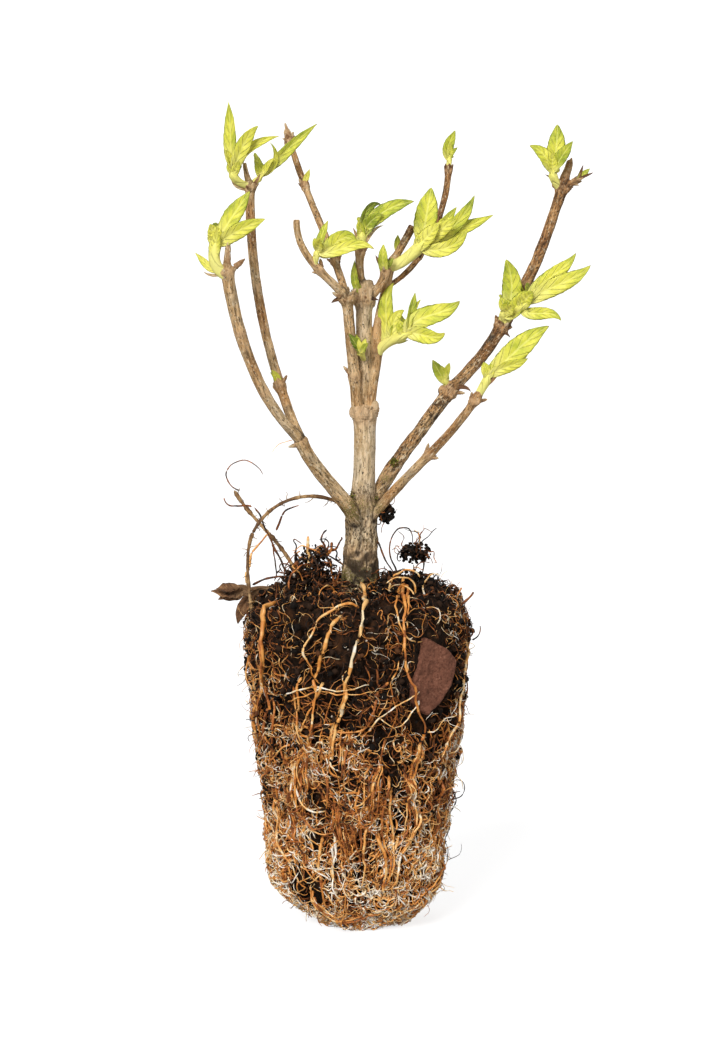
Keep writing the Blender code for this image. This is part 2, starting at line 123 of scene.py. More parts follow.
class Bench:
    """The node tree of one material, with its shader."""

    def __init__(self, name: str) -> None:
        """Starts a material with a plain shader.

        Args:
            name: The material's name.
        """
        self.material = bpy.data.materials.new(name)
        self.material.use_nodes = True
        self.tree = self.material.node_tree
        self.shader = self.tree.nodes["Principled BSDF"]

    def node(self, kind: str, settings: dict, inputs: dict, output: int | str = 0) -> Wire:
        """Adds a node, sets it up and links or fills its sockets.

        Args:
            kind: The node's type.
            settings: Its properties, and a ramp's stops as "stops".
            inputs: Socket name, identifier or number, to a value or a wire.
            output: The output that is wanted.

        Returns:
            That output.
        """
        made = self.tree.nodes.new(kind)
        for name, value in settings.items():
            if name == "stops":
                self._set_stops(made.color_ramp, value)
            else:
                setattr(made, name, value)
        for name, value in inputs.items():
            self._fill(self._socket(made.inputs, name), value)
        return Wire(self, self._socket(made.outputs, output))

    @staticmethod
    def _socket(sockets: bpy.types.NodeInputs, name: int | str) -> bpy.types.NodeSocket:
        """Finds a socket.

        Args:
            sockets: The node's inputs or outputs.
            name: Its number, identifier or name.

        Returns:
            The socket.
        """
        if isinstance(name, int):
            return sockets[name]
        return next((socket for socket in sockets if socket.identifier == name), None) or sockets[name]

    @staticmethod
    def _set_stops(ramp: bpy.types.ColorRamp, stops: Stops) -> None:
        """Gives a colour ramp its stops.

        Args:
            ramp: The ramp.
            stops: The place and colour of each.
        """
        while len(ramp.elements) < len(stops):
            ramp.elements.new(1.0)
        for element, (place, colour) in zip(ramp.elements, stops):
            element.position = place
            element.color = (*colour, 1.0)

    def _fill(self, socket: bpy.types.NodeSocket, value: "Wire | float | Sequence[float]") -> None:
        """Links a wire to a socket, or sets the socket's own value.

        Args:
            socket: The socket.
            value: The wire, number, vector or colour.
        """
        if isinstance(value, Wire):
            self.tree.links.new(value.socket, socket)
        elif isinstance(value, (int, float)):
            socket.default_value = value
        elif socket.type == "RGBA":
            socket.default_value = (*value, 1.0)
        else:
            socket.default_value = value

    def dress(self, **inputs: "Wire | float | Sequence[float]") -> bpy.types.Material:
        """Fills the shader's sockets.

        Args:
            inputs: What goes in each, by its name with underscores for spaces.

        Returns:
            The finished material.
        """
        for name, value in inputs.items():
            self._fill(self.shader.inputs[name.replace("_", " ")], value)
        return self.material

    def mark(self, name: str, output: str = "Fac") -> Wire:
        """A mask or vector that the piece's mesh carries as an attribute."""
        return self.node("ShaderNodeAttribute", {"attribute_name": name}, {}, output)

    def place(self) -> Wire:
        """Object coordinates in metres."""
        return self.node("ShaderNodeTexCoord", {}, {}, "Object")

    def parts(self, vector: Wire) -> tuple[Wire, Wire, Wire]:
        """The three numbers of a vector."""
        split = [self.node("ShaderNodeSeparateXYZ", {}, {0: vector}, axis) for axis in "XYZ"]
        return split[0], split[1], split[2]

    def cloud(
        self, vector: Wire, scale: float, detail: float = 3.0, rough: float = 0.55, squash: float = 1.0,
        shift: Place = (0.0, 0.0, 0.0),
    ) -> Wire:
        """Noise from 0 to 1 over a vector.

        Args:
            vector: The vector.
            scale: The noise's scale.
            detail: Its finer layers.
            rough: Their strength.
            squash: What the vector's third axis is scaled by; under 1 draws the noise out along it.
            shift: How far the vector is moved first.

        Returns:
            The noise.
        """
        spread = {0: vector, 1: (1.0, 1.0, squash), 2: shift}
        moved = self.node("ShaderNodeVectorMath", {"operation": "MULTIPLY_ADD"}, spread)
        inputs = {"Vector": moved, "Scale": scale, "Detail": detail, "Roughness": rough}
        return self.node("ShaderNodeTexNoise", {}, inputs, "Fac")

    def ramp(self, factor: Wire, stops: Stops) -> Wire:
        """A colour for each value of a factor."""
        return self.node("ShaderNodeValToRGB", {"stops": stops}, {"Fac": factor}, "Color")

    def blend(self, factor: Wire, first: Wire | Colour, second: Wire | Colour) -> Wire:
        """A colour between two."""
        inputs = {"Factor_Float": factor, "A_Color": first, "B_Color": second}
        return self.node("ShaderNodeMix", {"data_type": "RGBA"}, inputs, "Result_Color")

    def bump(self, height: Wire, strength: float, depth: float) -> Wire:
        """A normal bent by a height."""
        return self.node("ShaderNodeBump", {}, {"Height": height, "Strength": strength, "Distance": depth})


class Stuff:
    """What a piece is made of: a finish whose material is set up once."""

    name: str

    def material(self) -> bpy.types.Material:
        """The material, which the first piece of this stuff sets up."""
        return bpy.data.materials.get(self.name) or self.dressed(Bench(self.name))

    def dressed(self, bench: Bench) -> bpy.types.Material:
        """Sets the material up on its bench."""
        raise NotImplementedError


@dataclass(frozen=True)
class PlainFinish(Stuff):
    """One even colour, for small pieces that are dealt out among several."""

    name: str
    colour: Colour
    roughness: float = 0.6
    shine: float = 0.3

    def dressed(self, bench: Bench) -> bpy.types.Material:
        """Sets the material up on its bench."""
        return bench.dress(Base_Color=self.colour, Roughness=self.roughness, Specular_IOR_Level=self.shine)


@dataclass(frozen=True)
class BarkFinish(Stuff):
    """Streaked bark, by the age and the roughness that the mesh carries."""

    name: str = "bark"
    pale: Stops = (
        (0.0, (0.76, 0.6, 0.4)), (0.35, (0.72, 0.49, 0.26)), (0.7, (0.54, 0.3, 0.12)),
        (1.0, (0.4, 0.19, 0.07)),
    )
    middle: Stops = (
        (0.0, (0.52, 0.39, 0.23)), (0.35, (0.42, 0.26, 0.11)), (0.7, (0.3, 0.145, 0.052)),
        (1.0, (0.2, 0.085, 0.03)),
    )
    dark: Stops = ((0.0, (0.1, 0.07, 0.03)), (0.7, (0.07, 0.037, 0.016)), (1.0, (0.06, 0.03, 0.013)))
    fleck: Colour = (0.03, 0.017, 0.009)
    chalk: Colour = (0.74, 0.6, 0.4)
    ring: Colour = (0.58, 0.37, 0.2)
    moss: Stops = ((0.4, (0.035, 0.025, 0.01)), (0.54, (0.15, 0.12, 0.03)), (0.7, (0.36, 0.3, 0.1)))
    # The dark of the painted shade in bark furrows and forks, also used for the darker trunk foot and the
    # knot eyes.
    shade_and_marks: Colour = (0.025, 0.015, 0.009)

    def dressed(self, bench: Bench) -> bpy.types.Material:
        """Sets the material up.

        Args:
            bench: Its bench.

        Returns:
            The material.
        """
        grain = bench.mark("grain", "Vector")
        age = bench.mark("age")
        rough = bench.mark("rough")
        pale, middle, dark = (bench.ramp(age, stops) for stops in (self.pale, self.middle, self.dark))
        streaks = bench.cloud(grain, 0.95, 4.0, 0.64, 0.14)
        colour = bench.blend(streaks.between(0.42, 0.56), middle, pale)
        blotch = bench.cloud(grain, 0.95, 4.0, 0.65, 0.28)
        colour = bench.blend((blotch + rough * 0.1).between(0.56, 0.68) * 0.6, colour, dark)
        patch = bench.cloud(grain, 0.3, 4.0, 0.7, 0.6)
        colour = bench.blend((patch + rough * 0.3).between(0.76, 0.86) * 0.85, colour, dark)
        wear = bench.cloud(grain, 0.6, 4.0, 0.72, 0.45, (40.0, 17.0, 9.0))
        worn = (wear + rough * 0.12 - age * 0.08).between(0.61, 0.67)
        colour = bench.blend(worn * 0.75, colour, self.chalk)
        specks = bench.cloud(grain, 1.5, 3.0, 0.62, 0.5)
        colour = bench.blend((specks + rough * 0.16).between(0.66, 0.71) * 0.9, colour, self.fleck)
        flakes = bench.cloud(grain, 2.2, 2.0, 0.6, 0.4)
        colour = bench.blend(flakes.between(0.6, 0.67) * 0.7, colour, self.chalk)
        colour = bench.blend(bench.mark("ring") * flakes.between(0.3, 0.55) * 0.75, colour, self.ring)
        colour = bench.blend(bench.mark("pore") * 0.85, colour, self.chalk)
        fuzz = bench.cloud(grain, 1.6, 4.0, 0.68)
        moss = bench.mark("moss")
        mossy = (fuzz + moss * 0.35).between(0.62, 0.74) * moss.between(0.02, 0.3)
        colour = bench.blend(mossy, colour, bench.ramp(fuzz, self.moss))
        # Painted shade: furrows and forks darken to one dark colour, and so do the trunk foot and the knot
        # eyes.
        colour = bench.blend(bench.mark("crevice"), colour, self.shade_and_marks)
        return bench.dress(
            Base_Color=colour,
            Roughness=flakes.between(0.2, 0.8) * 0.2 + 0.68,
            Specular_IOR_Level=0.22,
            Normal=bench.bump(flakes + streaks + specks, 0.7, 0.0004),
        )


@dataclass(frozen=True)
class BladeFinish(Stuff):
    """A leaf or a scale, by the side, share and tone that its mesh carries."""

    name: str
    tones: Stops
    foot: Colour
    rib: Colour
    tip: Colour
    rib_strength: float
    vein_strength: float
    veins: float = 6.0
    slant: float = 1.6
    shine: float = 0.3
    roughness: float = 0.5

    def dressed(self, bench: Bench) -> bpy.types.Material:
        """Sets the material up.

        Args:
            bench: Its bench.

        Returns:
            The material.
        """
        side, share, tone = bench.parts(bench.mark("leaf", "Vector"))
        away = side.size()
        mottle = bench.cloud(bench.place(), 650.0, 3.0, 0.6)
        drift = bench.cloud(bench.place(), 170.0, 2.0, 0.5)
        shade = (mottle - 0.5) * 0.5 + (drift - 0.5) * 1.1
        shade = shade + away.between(0.45, 1.0) * 0.14 + share * 0.2 - 0.07
        colour = bench.ramp(tone + shade, self.tones)
        line = (share * self.veins - away * self.slant).math("PINGPONG", 0.5)
        vein = (1.0 - line.between(0.03, 0.14)) * away.between(0.04, 0.2)
        colour = bench.blend(vein * self.vein_strength, colour, self.rib)
        colour = bench.blend((1.0 - away.between(0.03, 0.13)) * self.rib_strength, colour, self.rib)
        colour = bench.blend((1.0 - share.between(0.04, 0.42)) * 0.85, colour, self.foot)
        colour = bench.blend(share.between(0.93, 1.0) * mottle.between(0.5, 0.6) * 0.8, colour, self.tip)
        return bench.dress(
            Base_Color=colour,
            Roughness=mottle.between(0.2, 0.8) * 0.15 + self.roughness,
            Specular_IOR_Level=self.shine,
            Normal=bench.bump(mottle * 0.5 - vein, 0.8, 0.0004),
        )


@dataclass(frozen=True)
class GroundFinish(Stuff):
    """A speckled natural stuff over object coordinates: peat, stone or old root."""

    name: str
    colours: Stops
    scale: float
    squash: float
    stain: Colour
    stain_scale: float
    stained: tuple[float, float]
    roughness: float
    relief: float
    shine: float = 0.1

    def dressed(self, bench: Bench) -> bpy.types.Material:
        """Sets the material up.

        Args:
            bench: Its bench.

        Returns:
            The material.
        """
        place = bench.place()
        grit = bench.cloud(place, self.scale, 5.0, 0.68, self.squash)
        stain = bench.cloud(place, self.stain_scale, 4.0, 0.6).between(*self.stained)
        colour = bench.blend(stain * 0.8, bench.ramp(grit, self.colours), self.stain)
        return bench.dress(
            Base_Color=colour,
            Roughness=grit.between(0.2, 0.8) * 0.1 + self.roughness,
            Specular_IOR_Level=self.shine,
            Normal=bench.bump(grit + stain * 0.4, 0.8, self.relief),
        )


class Finish(Enum):
    """The finishes that vary over a piece."""

    BARK = BarkFinish()
    LEAF = BladeFinish(
        "spring_leaf",
        (
            (0.0, (0.86, 0.81, 0.16)), (0.25, (0.74, 0.71, 0.08)), (0.5, (0.53, 0.56, 0.05)),
            (0.75, (0.3, 0.37, 0.028)), (1.0, (0.11, 0.17, 0.014)),
        ),
        (0.84, 0.78, 0.26), (0.85, 0.82, 0.26), (0.25, 0.13, 0.04), 0.5, 0.28,
    )
    HUSK = BladeFinish(
        "bud_husk",
        (
            (0.0, (0.03, 0.016, 0.01)), (0.3, (0.15, 0.07, 0.032)), (0.55, (0.4, 0.22, 0.1)),
            (0.8, (0.6, 0.42, 0.23)), (1.0, (0.74, 0.58, 0.36)),
        ),
        (0.34, 0.2, 0.1), (0.36, 0.2, 0.1), (0.05, 0.025, 0.014), 0.35, 0.3, 5.0, 1.2, 0.2, 0.65,
    )
    PEAT = GroundFinish(
        "peat",
        ((0.36, (0.006, 0.004, 0.003)), (0.54, (0.022, 0.012, 0.007)), (0.7, (0.07, 0.03, 0.013))),
        520.0, 0.6, (0.075, 0.03, 0.012), 130.0, (0.54, 0.7), 0.88, 0.0012,
    )
    STONE = GroundFinish(
        "maroon_stone",
        (
            (0.34, (0.08, 0.03, 0.018)), (0.47, (0.18, 0.07, 0.042)), (0.6, (0.22, 0.09, 0.055)),
            (0.76, (0.42, 0.22, 0.14)),
        ),
        1100.0, 1.0, (0.11, 0.043, 0.026), 140.0, (0.5, 0.72), 0.78, 0.0003, 0.15,
    )
    ROOT = GroundFinish(
        "bare_root",
        ((0.34, (0.1, 0.045, 0.02)), (0.5, (0.34, 0.19, 0.075)), (0.66, (0.56, 0.37, 0.18))),
        420.0, 0.5, (0.08, 0.035, 0.016), 160.0, (0.47, 0.6), 0.6, 0.0003, 0.25,
    )


class RootColour(Enum):
    """The colours of the roots, from living white tips to old dark threads."""

    WHITE = PlainFinish("root_white", (0.92, 0.83, 0.7), 0.42, 0.5)
    IVORY = PlainFinish("root_ivory", (0.88, 0.69, 0.43), 0.42, 0.5)
    CREAM = PlainFinish("root_cream", (0.86, 0.5, 0.18), 0.42, 0.5)
    HONEY = PlainFinish("root_honey", (0.77, 0.345, 0.082), 0.42, 0.5)
    GOLD = PlainFinish("root_gold", (0.64, 0.235, 0.04), 0.45, 0.5)
    AMBER = PlainFinish("root_amber", (0.44, 0.135, 0.025), 0.5, 0.45)
    COPPER = PlainFinish("root_copper", (0.26, 0.078, 0.017), 0.65)
    RUST = PlainFinish("root_rust", (0.15, 0.048, 0.014), 0.7)
    UMBER = PlainFinish("root_umber", (0.055, 0.024, 0.011), 0.75)
    DARK = PlainFinish("root_dark", (0.02, 0.011, 0.007), 0.75)


WHITE, IVORY, CREAM, HONEY, GOLD, AMBER, COPPER, RUST, UMBER, DARK = ROOT_COLOURS = tuple(RootColour)


class Crumb(Enum):
    """The colours of the crumbs of peat, of moss and of grit."""

    BLACK = PlainFinish("peat_black", (0.008, 0.0055, 0.004), 0.9, 0.15)
    BROWN = PlainFinish("peat_brown", (0.03, 0.015, 0.008), 0.9, 0.15)
    RUST = PlainFinish("peat_rust", (0.1, 0.04, 0.016), 0.9, 0.15)
    GRIT = PlainFinish("peat_grit", (0.55, 0.45, 0.35), 0.8, 0.2)
    OLIVE = PlainFinish("moss_olive", (0.09, 0.085, 0.017), 0.9, 0.1)
    MOSS = PlainFinish("moss_green", (0.24, 0.23, 0.045), 0.9, 0.1)


@dataclass(frozen=True)
class Course:
    """The way a limb, shoot or leaf grows on from where it springs."""

    heading: float
    leans: tuple[float, ...]
    length: float

    def lean(self, share: float) -> float:
        """The lean at a share of the length, through its two or three leans.

        Args:
            share: The share of the length.

        Returns:
            The angle from upright, in degrees.
        """
        if len(self.leans) == 2:
            return self.leans[0] + (self.leans[1] - self.leans[0]) * share
        base, middle, tip = self.leans
        past = 2 * share - 1
        return base * (share - 1) * past + middle * 4 * share * (1 - share) + tip * share * past

    def route(self, foot: Sequence[float]) -> list[Vector]:
        """Follows the course.

        Args:
            foot: Where it springs.

        Returns:
            Evenly spaced points along it.
        """
        turn = math.radians(self.heading)
        stride = self.length / ROUTE_STEPS
        points = [Vector(foot)]
        for step in range(ROUTE_STEPS):
            lean = math.radians(self.lean((step + 0.5) / ROUTE_STEPS))
            level = math.sin(lean)
            way = Vector((level * math.cos(turn), level * math.sin(turn), math.cos(lean)))
            points.append(points[-1] + stride * way)
        return points

    @classmethod
    def aimed(cls, way: Vector, length: float, nod: float, *rest: float) -> "Course":
        """What sets off along a direction.

        Args:
            way: The direction, of length one.
            length: Its length.
            nod: How many degrees less it leans at its end.
            rest: Its other fields.

        Returns:
            The course, or the blade.
        """
        lean = math.degrees(math.acos(max(-1.0, min(1.0, way.z))))
        return cls(math.degrees(math.atan2(way.y, way.x)), (lean, lean - nod), length, *rest)

    def across(self) -> Vector:
        """The level direction across the heading."""
        turn = math.radians(self.heading)
        return Vector((-math.sin(turn), math.cos(turn), 0.0))


def point_on(points: Sequence[Vector], share: float) -> Vector:
    """Finds a point on a route.

    Args:
        points: The route's evenly spaced points.
        share: The share of the way along them.

    Returns:
        The point.
    """
    place = min(max(share, 0.0), 1.0) * (len(points) - 1)
    low = min(int(place), len(points) - 2)
    return points[low].lerp(points[low + 1], place - low)


def way_on(points: Sequence[Vector], share: float) -> Vector:
    """The direction of the points at a share of the way along them."""
    step = 0.5 / (len(points) - 1)
    return (point_on(points, share + step) - point_on(points, share - step)).normalized()


def frame_on(points: Sequence[Vector], share: float, toward: Vector, roll: float = 0.0) -> Matrix:
    """A frame that stands across a route.

    Args:
        points: The route.
        share: The share of the way along it.
        toward: The direction that its second axis turns to, as far as it can.
        roll: The turn about the route, in degrees.

    Returns:
        The frame, its third axis along the route.
    """
    along = way_on(points, share)
    second = toward - along * toward.dot(along)
    second = Matrix.Rotation(math.radians(roll), 3, along) @ second.normalized()
    frame = Matrix((second.cross(along), second, along)).transposed().to_4x4()
    frame.translation = point_on(points, share)
    return frame


def ease(value: float | np.ndarray) -> float | np.ndarray:
    """A smooth rise from 0 at 0 to 1 at 1."""
    value = np.clip(value, 0.0, 1.0)
    return value * value * (3 - 2 * value)


def bell(distance: float | np.ndarray, reach: float) -> float | np.ndarray:
    """A smooth hump, 1 at no distance and near 0 past twice its reach."""
    return np.exp(-((distance / reach) ** 2))


def unit(vectors: np.ndarray) -> np.ndarray:
    """The vectors at a length of one."""
    return vectors / (np.linalg.norm(vectors, axis=-1, keepdims=True) + 1e-9)


@dataclass(frozen=True)
class Lattice:
    """Smooth seeded noise over places, from -1 to 1."""

    seed: int
    entries: int = 65536
    mixers: tuple[int, int, int] = (73856093, 19349663, 83492791)

    def at(self, places: np.ndarray, size: float) -> np.ndarray:
        """The noise at places.

        Args:
            places: The places, with their coordinates last.
            size: How wide its humps are.

        Returns:
            A number for each place.
        """
        table = np.random.default_rng(self.seed).uniform(-1.0, 1.0, self.entries)
        scaled = np.asarray(places, dtype=float) / size
        cell = np.floor(scaled).astype(np.int64)
        part = scaled - cell
        part = part * part * (3 - 2 * part)
        value = np.zeros(scaled.shape[:-1])
        for corner in itertools.product((0, 1), repeat=3):
            key = (cell + corner) * self.mixers
            index = (key[..., 0] ^ key[..., 1] ^ key[..., 2]) % self.entries
            value += table[index] * np.where(corner, part, 1 - part).prod(axis=-1)
        return value


def finish_piece(mesh: bpy.types.Mesh, finishes: Sequence[Enum], slot: str, *nodes: str) -> bpy.types.Object:
    """Makes a mesh a piece of the plant that rides on its body.

    Args:
        mesh: The mesh, in metres and in place; the piece takes its name.
        finishes: Its finishes, in the order that its faces name them.
        slot: The record's material slot; not used.
        nodes: The solids of the frame that it stands for.

    Returns:
        The piece.
    """
    for finish in finishes:
        mesh.materials.append(finish.value.material())
    piece = bpy.data.objects.new(mesh.name, mesh)
    bpy.context.scene.collection.objects.link(piece)
    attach(piece, BODY)
    if nodes:
        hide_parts(*nodes)
    LOG.info("%s: %d faces, for %s", piece.name, len(mesh.polygons), ", ".join(nodes) or "trim")
    return piece


def mesh_of(bm: bmesh.types.BMesh, name: str) -> bpy.types.Mesh:
    """Turns a mesh in millimetres into a smooth one in metres.

    Args:
        bm: The mesh, which is freed.
        name: The new mesh's name.

    Returns:
        The new mesh.
    """
    bmesh.ops.scale(bm, vec=(MM, MM, MM), verts=bm.verts)
    mesh = bpy.data.meshes.new(name)
    bm.to_mesh(mesh)
    bm.free()
    mesh.shade_smooth()
    return mesh


def smooth(bm: bmesh.types.BMesh, verts: Sequence[bmesh.types.BMVert], rounds: int) -> None:
    """Evens out vertices of a mesh, a few rounds long."""
    for _ in range(rounds):
        bmesh.ops.smooth_vert(bm, verts=verts, factor=0.5, use_axis_x=True, use_axis_y=True, use_axis_z=True)


def add_tube(bm: bmesh.types.BMesh, sides: int, rows: int) -> list[tuple[bmesh.types.BMVert, float, int]]:
    """Adds a closed tube that still has to be shaped.

    Args:
        bm: The mesh that it is added to.
        sides: Its sides.
        rows: The rows of faces along it.

    Returns:
        Its vertices, each with its turn about the tube and its row from the foot.
    """
    made = bmesh.ops.create_uvsphere(bm, u_segments=sides, v_segments=rows, radius=1.0)["verts"]
    spots = []
    for vert in made:
        low = math.acos(max(-1.0, min(1.0, -vert.co.z))) / math.pi
        spots.append((vert, math.atan2(vert.co.y, vert.co.x), round(low * rows)))
    return spots


class Tube:
    """The pattern of a closed tube, that many strands or blades are shaped from."""

    def __init__(self, sides: int, rows: int) -> None:
        """Keeps the turn and the row of each vertex, and the corners of each face.

        Args:
            sides: Its sides.
            rows: The rows of faces along it.
        """
        bm = bmesh.new()
        spots = add_tube(bm, sides, rows)
        bm.verts.index_update()
        self.corners = [[vert.index for vert in face.verts] for face in bm.faces]
        bm.free()
        self.turns = np.array([turn for _, turn, _ in spots])
        self.rows = np.array([row for _, _, row in spots])


def joined_mesh(
    name: str, places: np.ndarray, corners: Sequence[Sequence[int]], colours: np.ndarray
) -> bpy.types.Mesh:
    """One mesh of many copies of a small shape.

    Args:
        name: The mesh's name.
        places: The corners of every copy, in millimetres: copy, corner, axis.
        corners: The faces of one copy.
        colours: The material number of every copy, or of every face of every copy.

    Returns:
        The mesh, in metres.
    """
    count, size, _ = places.shape
    dealt = np.broadcast_to(colours.reshape(count, -1), (count, len(corners)))
    flat = np.concatenate([np.array(face) for face in corners])
    totals = np.tile(np.array([len(face) for face in corners]), count)
    loops = (flat[None, :] + np.arange(count)[:, None] * size).ravel()
    mesh = bpy.data.meshes.new(name)
    mesh.vertices.add(count * size)
    mesh.vertices.foreach_set("co", (places * MM).astype(np.float32).ravel())
    mesh.loops.add(len(loops))
    mesh.loops.foreach_set("vertex_index", loops.astype(np.int32))
    mesh.polygons.add(len(totals))
    mesh.polygons.foreach_set("loop_start", np.concatenate([[0], np.cumsum(totals)[:-1]]).astype(np.int32))
    mesh.polygons.foreach_set("material_index", dealt.ravel().astype(np.int32))
    mesh.update(calc_edges=True)
    mesh.validate()
    mesh.shade_smooth()
    return mesh


@dataclass(frozen=True)
class Strands:
    """Many thin tubes of even step count, as paths with radii and a colour for each tube or row."""

    paths: np.ndarray
    radii: np.ndarray
    colours: np.ndarray
    sides: int

    def mesh(self, name: str) -> bpy.types.Mesh:
        """Joins the tubes.

        Args:
            name: The mesh's name.

        Returns:
            One mesh, in metres.
        """
        tube = Tube(self.sides, self.paths.shape[1] - 1)
        rows = tube.rows
        colours = self.colours
        if colours.ndim > 1:
            colours = colours[:, [rows[face].min() for face in tube.corners]]
        ways = unit(np.gradient(self.paths, axis=1))
        helper = np.where(np.abs(ways[..., 2:]) > 0.9, [[[1.0, 0.0, 0.0]]], [[[0.0, 0.0, 1.0]]])
        first = unit(np.cross(ways, helper))
        second = np.cross(ways, first)
        reach = self.radii.copy()
        reach[:, 0] = 0.0
        reach[:, -1] = 0.0
        cosines, sines = (turned(tube.turns)[None, :, None] for turned in (np.cos, np.sin))
        around = first[:, rows] * cosines + second[:, rows] * sines
        places = self.paths[:, rows] + around * reach[:, rows, None]
        places[..., 2] = np.maximum(places[..., 2], FLOOR)
        return joined_mesh(name, places, tube.corners, colours)


def deal(chance: np.random.Generator, shares: np.ndarray) -> np.ndarray:
    """Picks a number for each row of shares.

    Args:
        chance: The source of chance.
        shares: The share of each number, in every row.

    Returns:
        The numbers.
    """
    steps = np.cumsum(shares, axis=1)
    steps /= steps[:, -1:]
    return (chance.random((len(shares), 1)) > steps).sum(axis=1)


def fuse(bm: bmesh.types.BMesh, name: str, grid: float) -> bpy.types.Mesh:
    """Melts closed shapes that overlap into one skin of even faces, and frees their source.

    Args:
        bm: The shapes.
        name: The name of the new mesh.
        grid: The size of its faces.

    Returns:
        The skin, in the same measure as the shapes.
    """
    loose = bpy.data.meshes.new(name + "_loose")
    bm.to_mesh(loose)
    bm.free()
    shape = bpy.data.objects.new(name + "_loose", loose)
    bpy.context.scene.collection.objects.link(shape)
    remesh = shape.modifiers.new("fuse", "REMESH")
    remesh.mode = "VOXEL"
    remesh.voxel_size = grid
    graph = bpy.context.evaluated_depsgraph_get()
    mesh = bpy.data.meshes.new_from_object(shape.evaluated_get(graph))
    bpy.data.objects.remove(shape)
    bpy.data.meshes.remove(loose)
    mesh.name = name
    return mesh


@dataclass(frozen=True)
class Limb:
    """A tapering limb: its solid, what it springs from, how it grows, its diameters and its bark."""

    node: str
    parent: str
    at: float
    course: Course
    base: float
    tip: float
    age: float
    rough: float
    knuckles: tuple[tuple[float, float, int], ...]
    mosses: tuple[tuple[float, float, float], ...] = ()
    collar: float = 0.25
    cut: bool = False
    shift: Place = (0.0, 0.0, 0.0)
    taper: float = 0.3

    def radius(self, share: float | np.ndarray) -> float | np.ndarray:
        """The plain radius, with the collar and the knuckles.

        Args:
            share: The share of the length.

        Returns:
            The radius there.
        """
        along = share * self.course.length
        swell = self.collar * bell(along, 0.9 * self.base)
        for at, by, _ in self.knuckles:
            swell = swell + by * bell(along - at * self.course.length, 0.5 * self.base)
        return (self.base + (self.tip - self.base) * share) / 2 * (1 + swell)


class Skeleton:
    """The routes of every limb and shoot, by the name of its solid."""

    def __init__(self) -> None:
        """Starts with no routes."""
        self.routes: dict[str, list[Vector]] = {}

    def grow(self, name: str, parent: str, at: float, course: Course, shift: Place = (0.0, 0.0, 0.0)) -> None:
        """Adds a route.

        Args:
            name: Its name.
            parent: The route that it springs from, or nothing where shift is its foot.
            at: The share of the parent's length where it springs.
            course: The way it grows.
            shift: How far its foot lies from there.
        """
        start = point_on(self.routes[parent], at) if parent else Vector()
        self.routes[name] = course.route(start + Vector(shift))


TRUNK_FOOT = (-2.1, 0.0, 133.2)
KNOBBLY_FOOT = (-26.1, 6.0, 136.0)
FALLEN_FOOT = (-36.0, 2.0, 134.0)

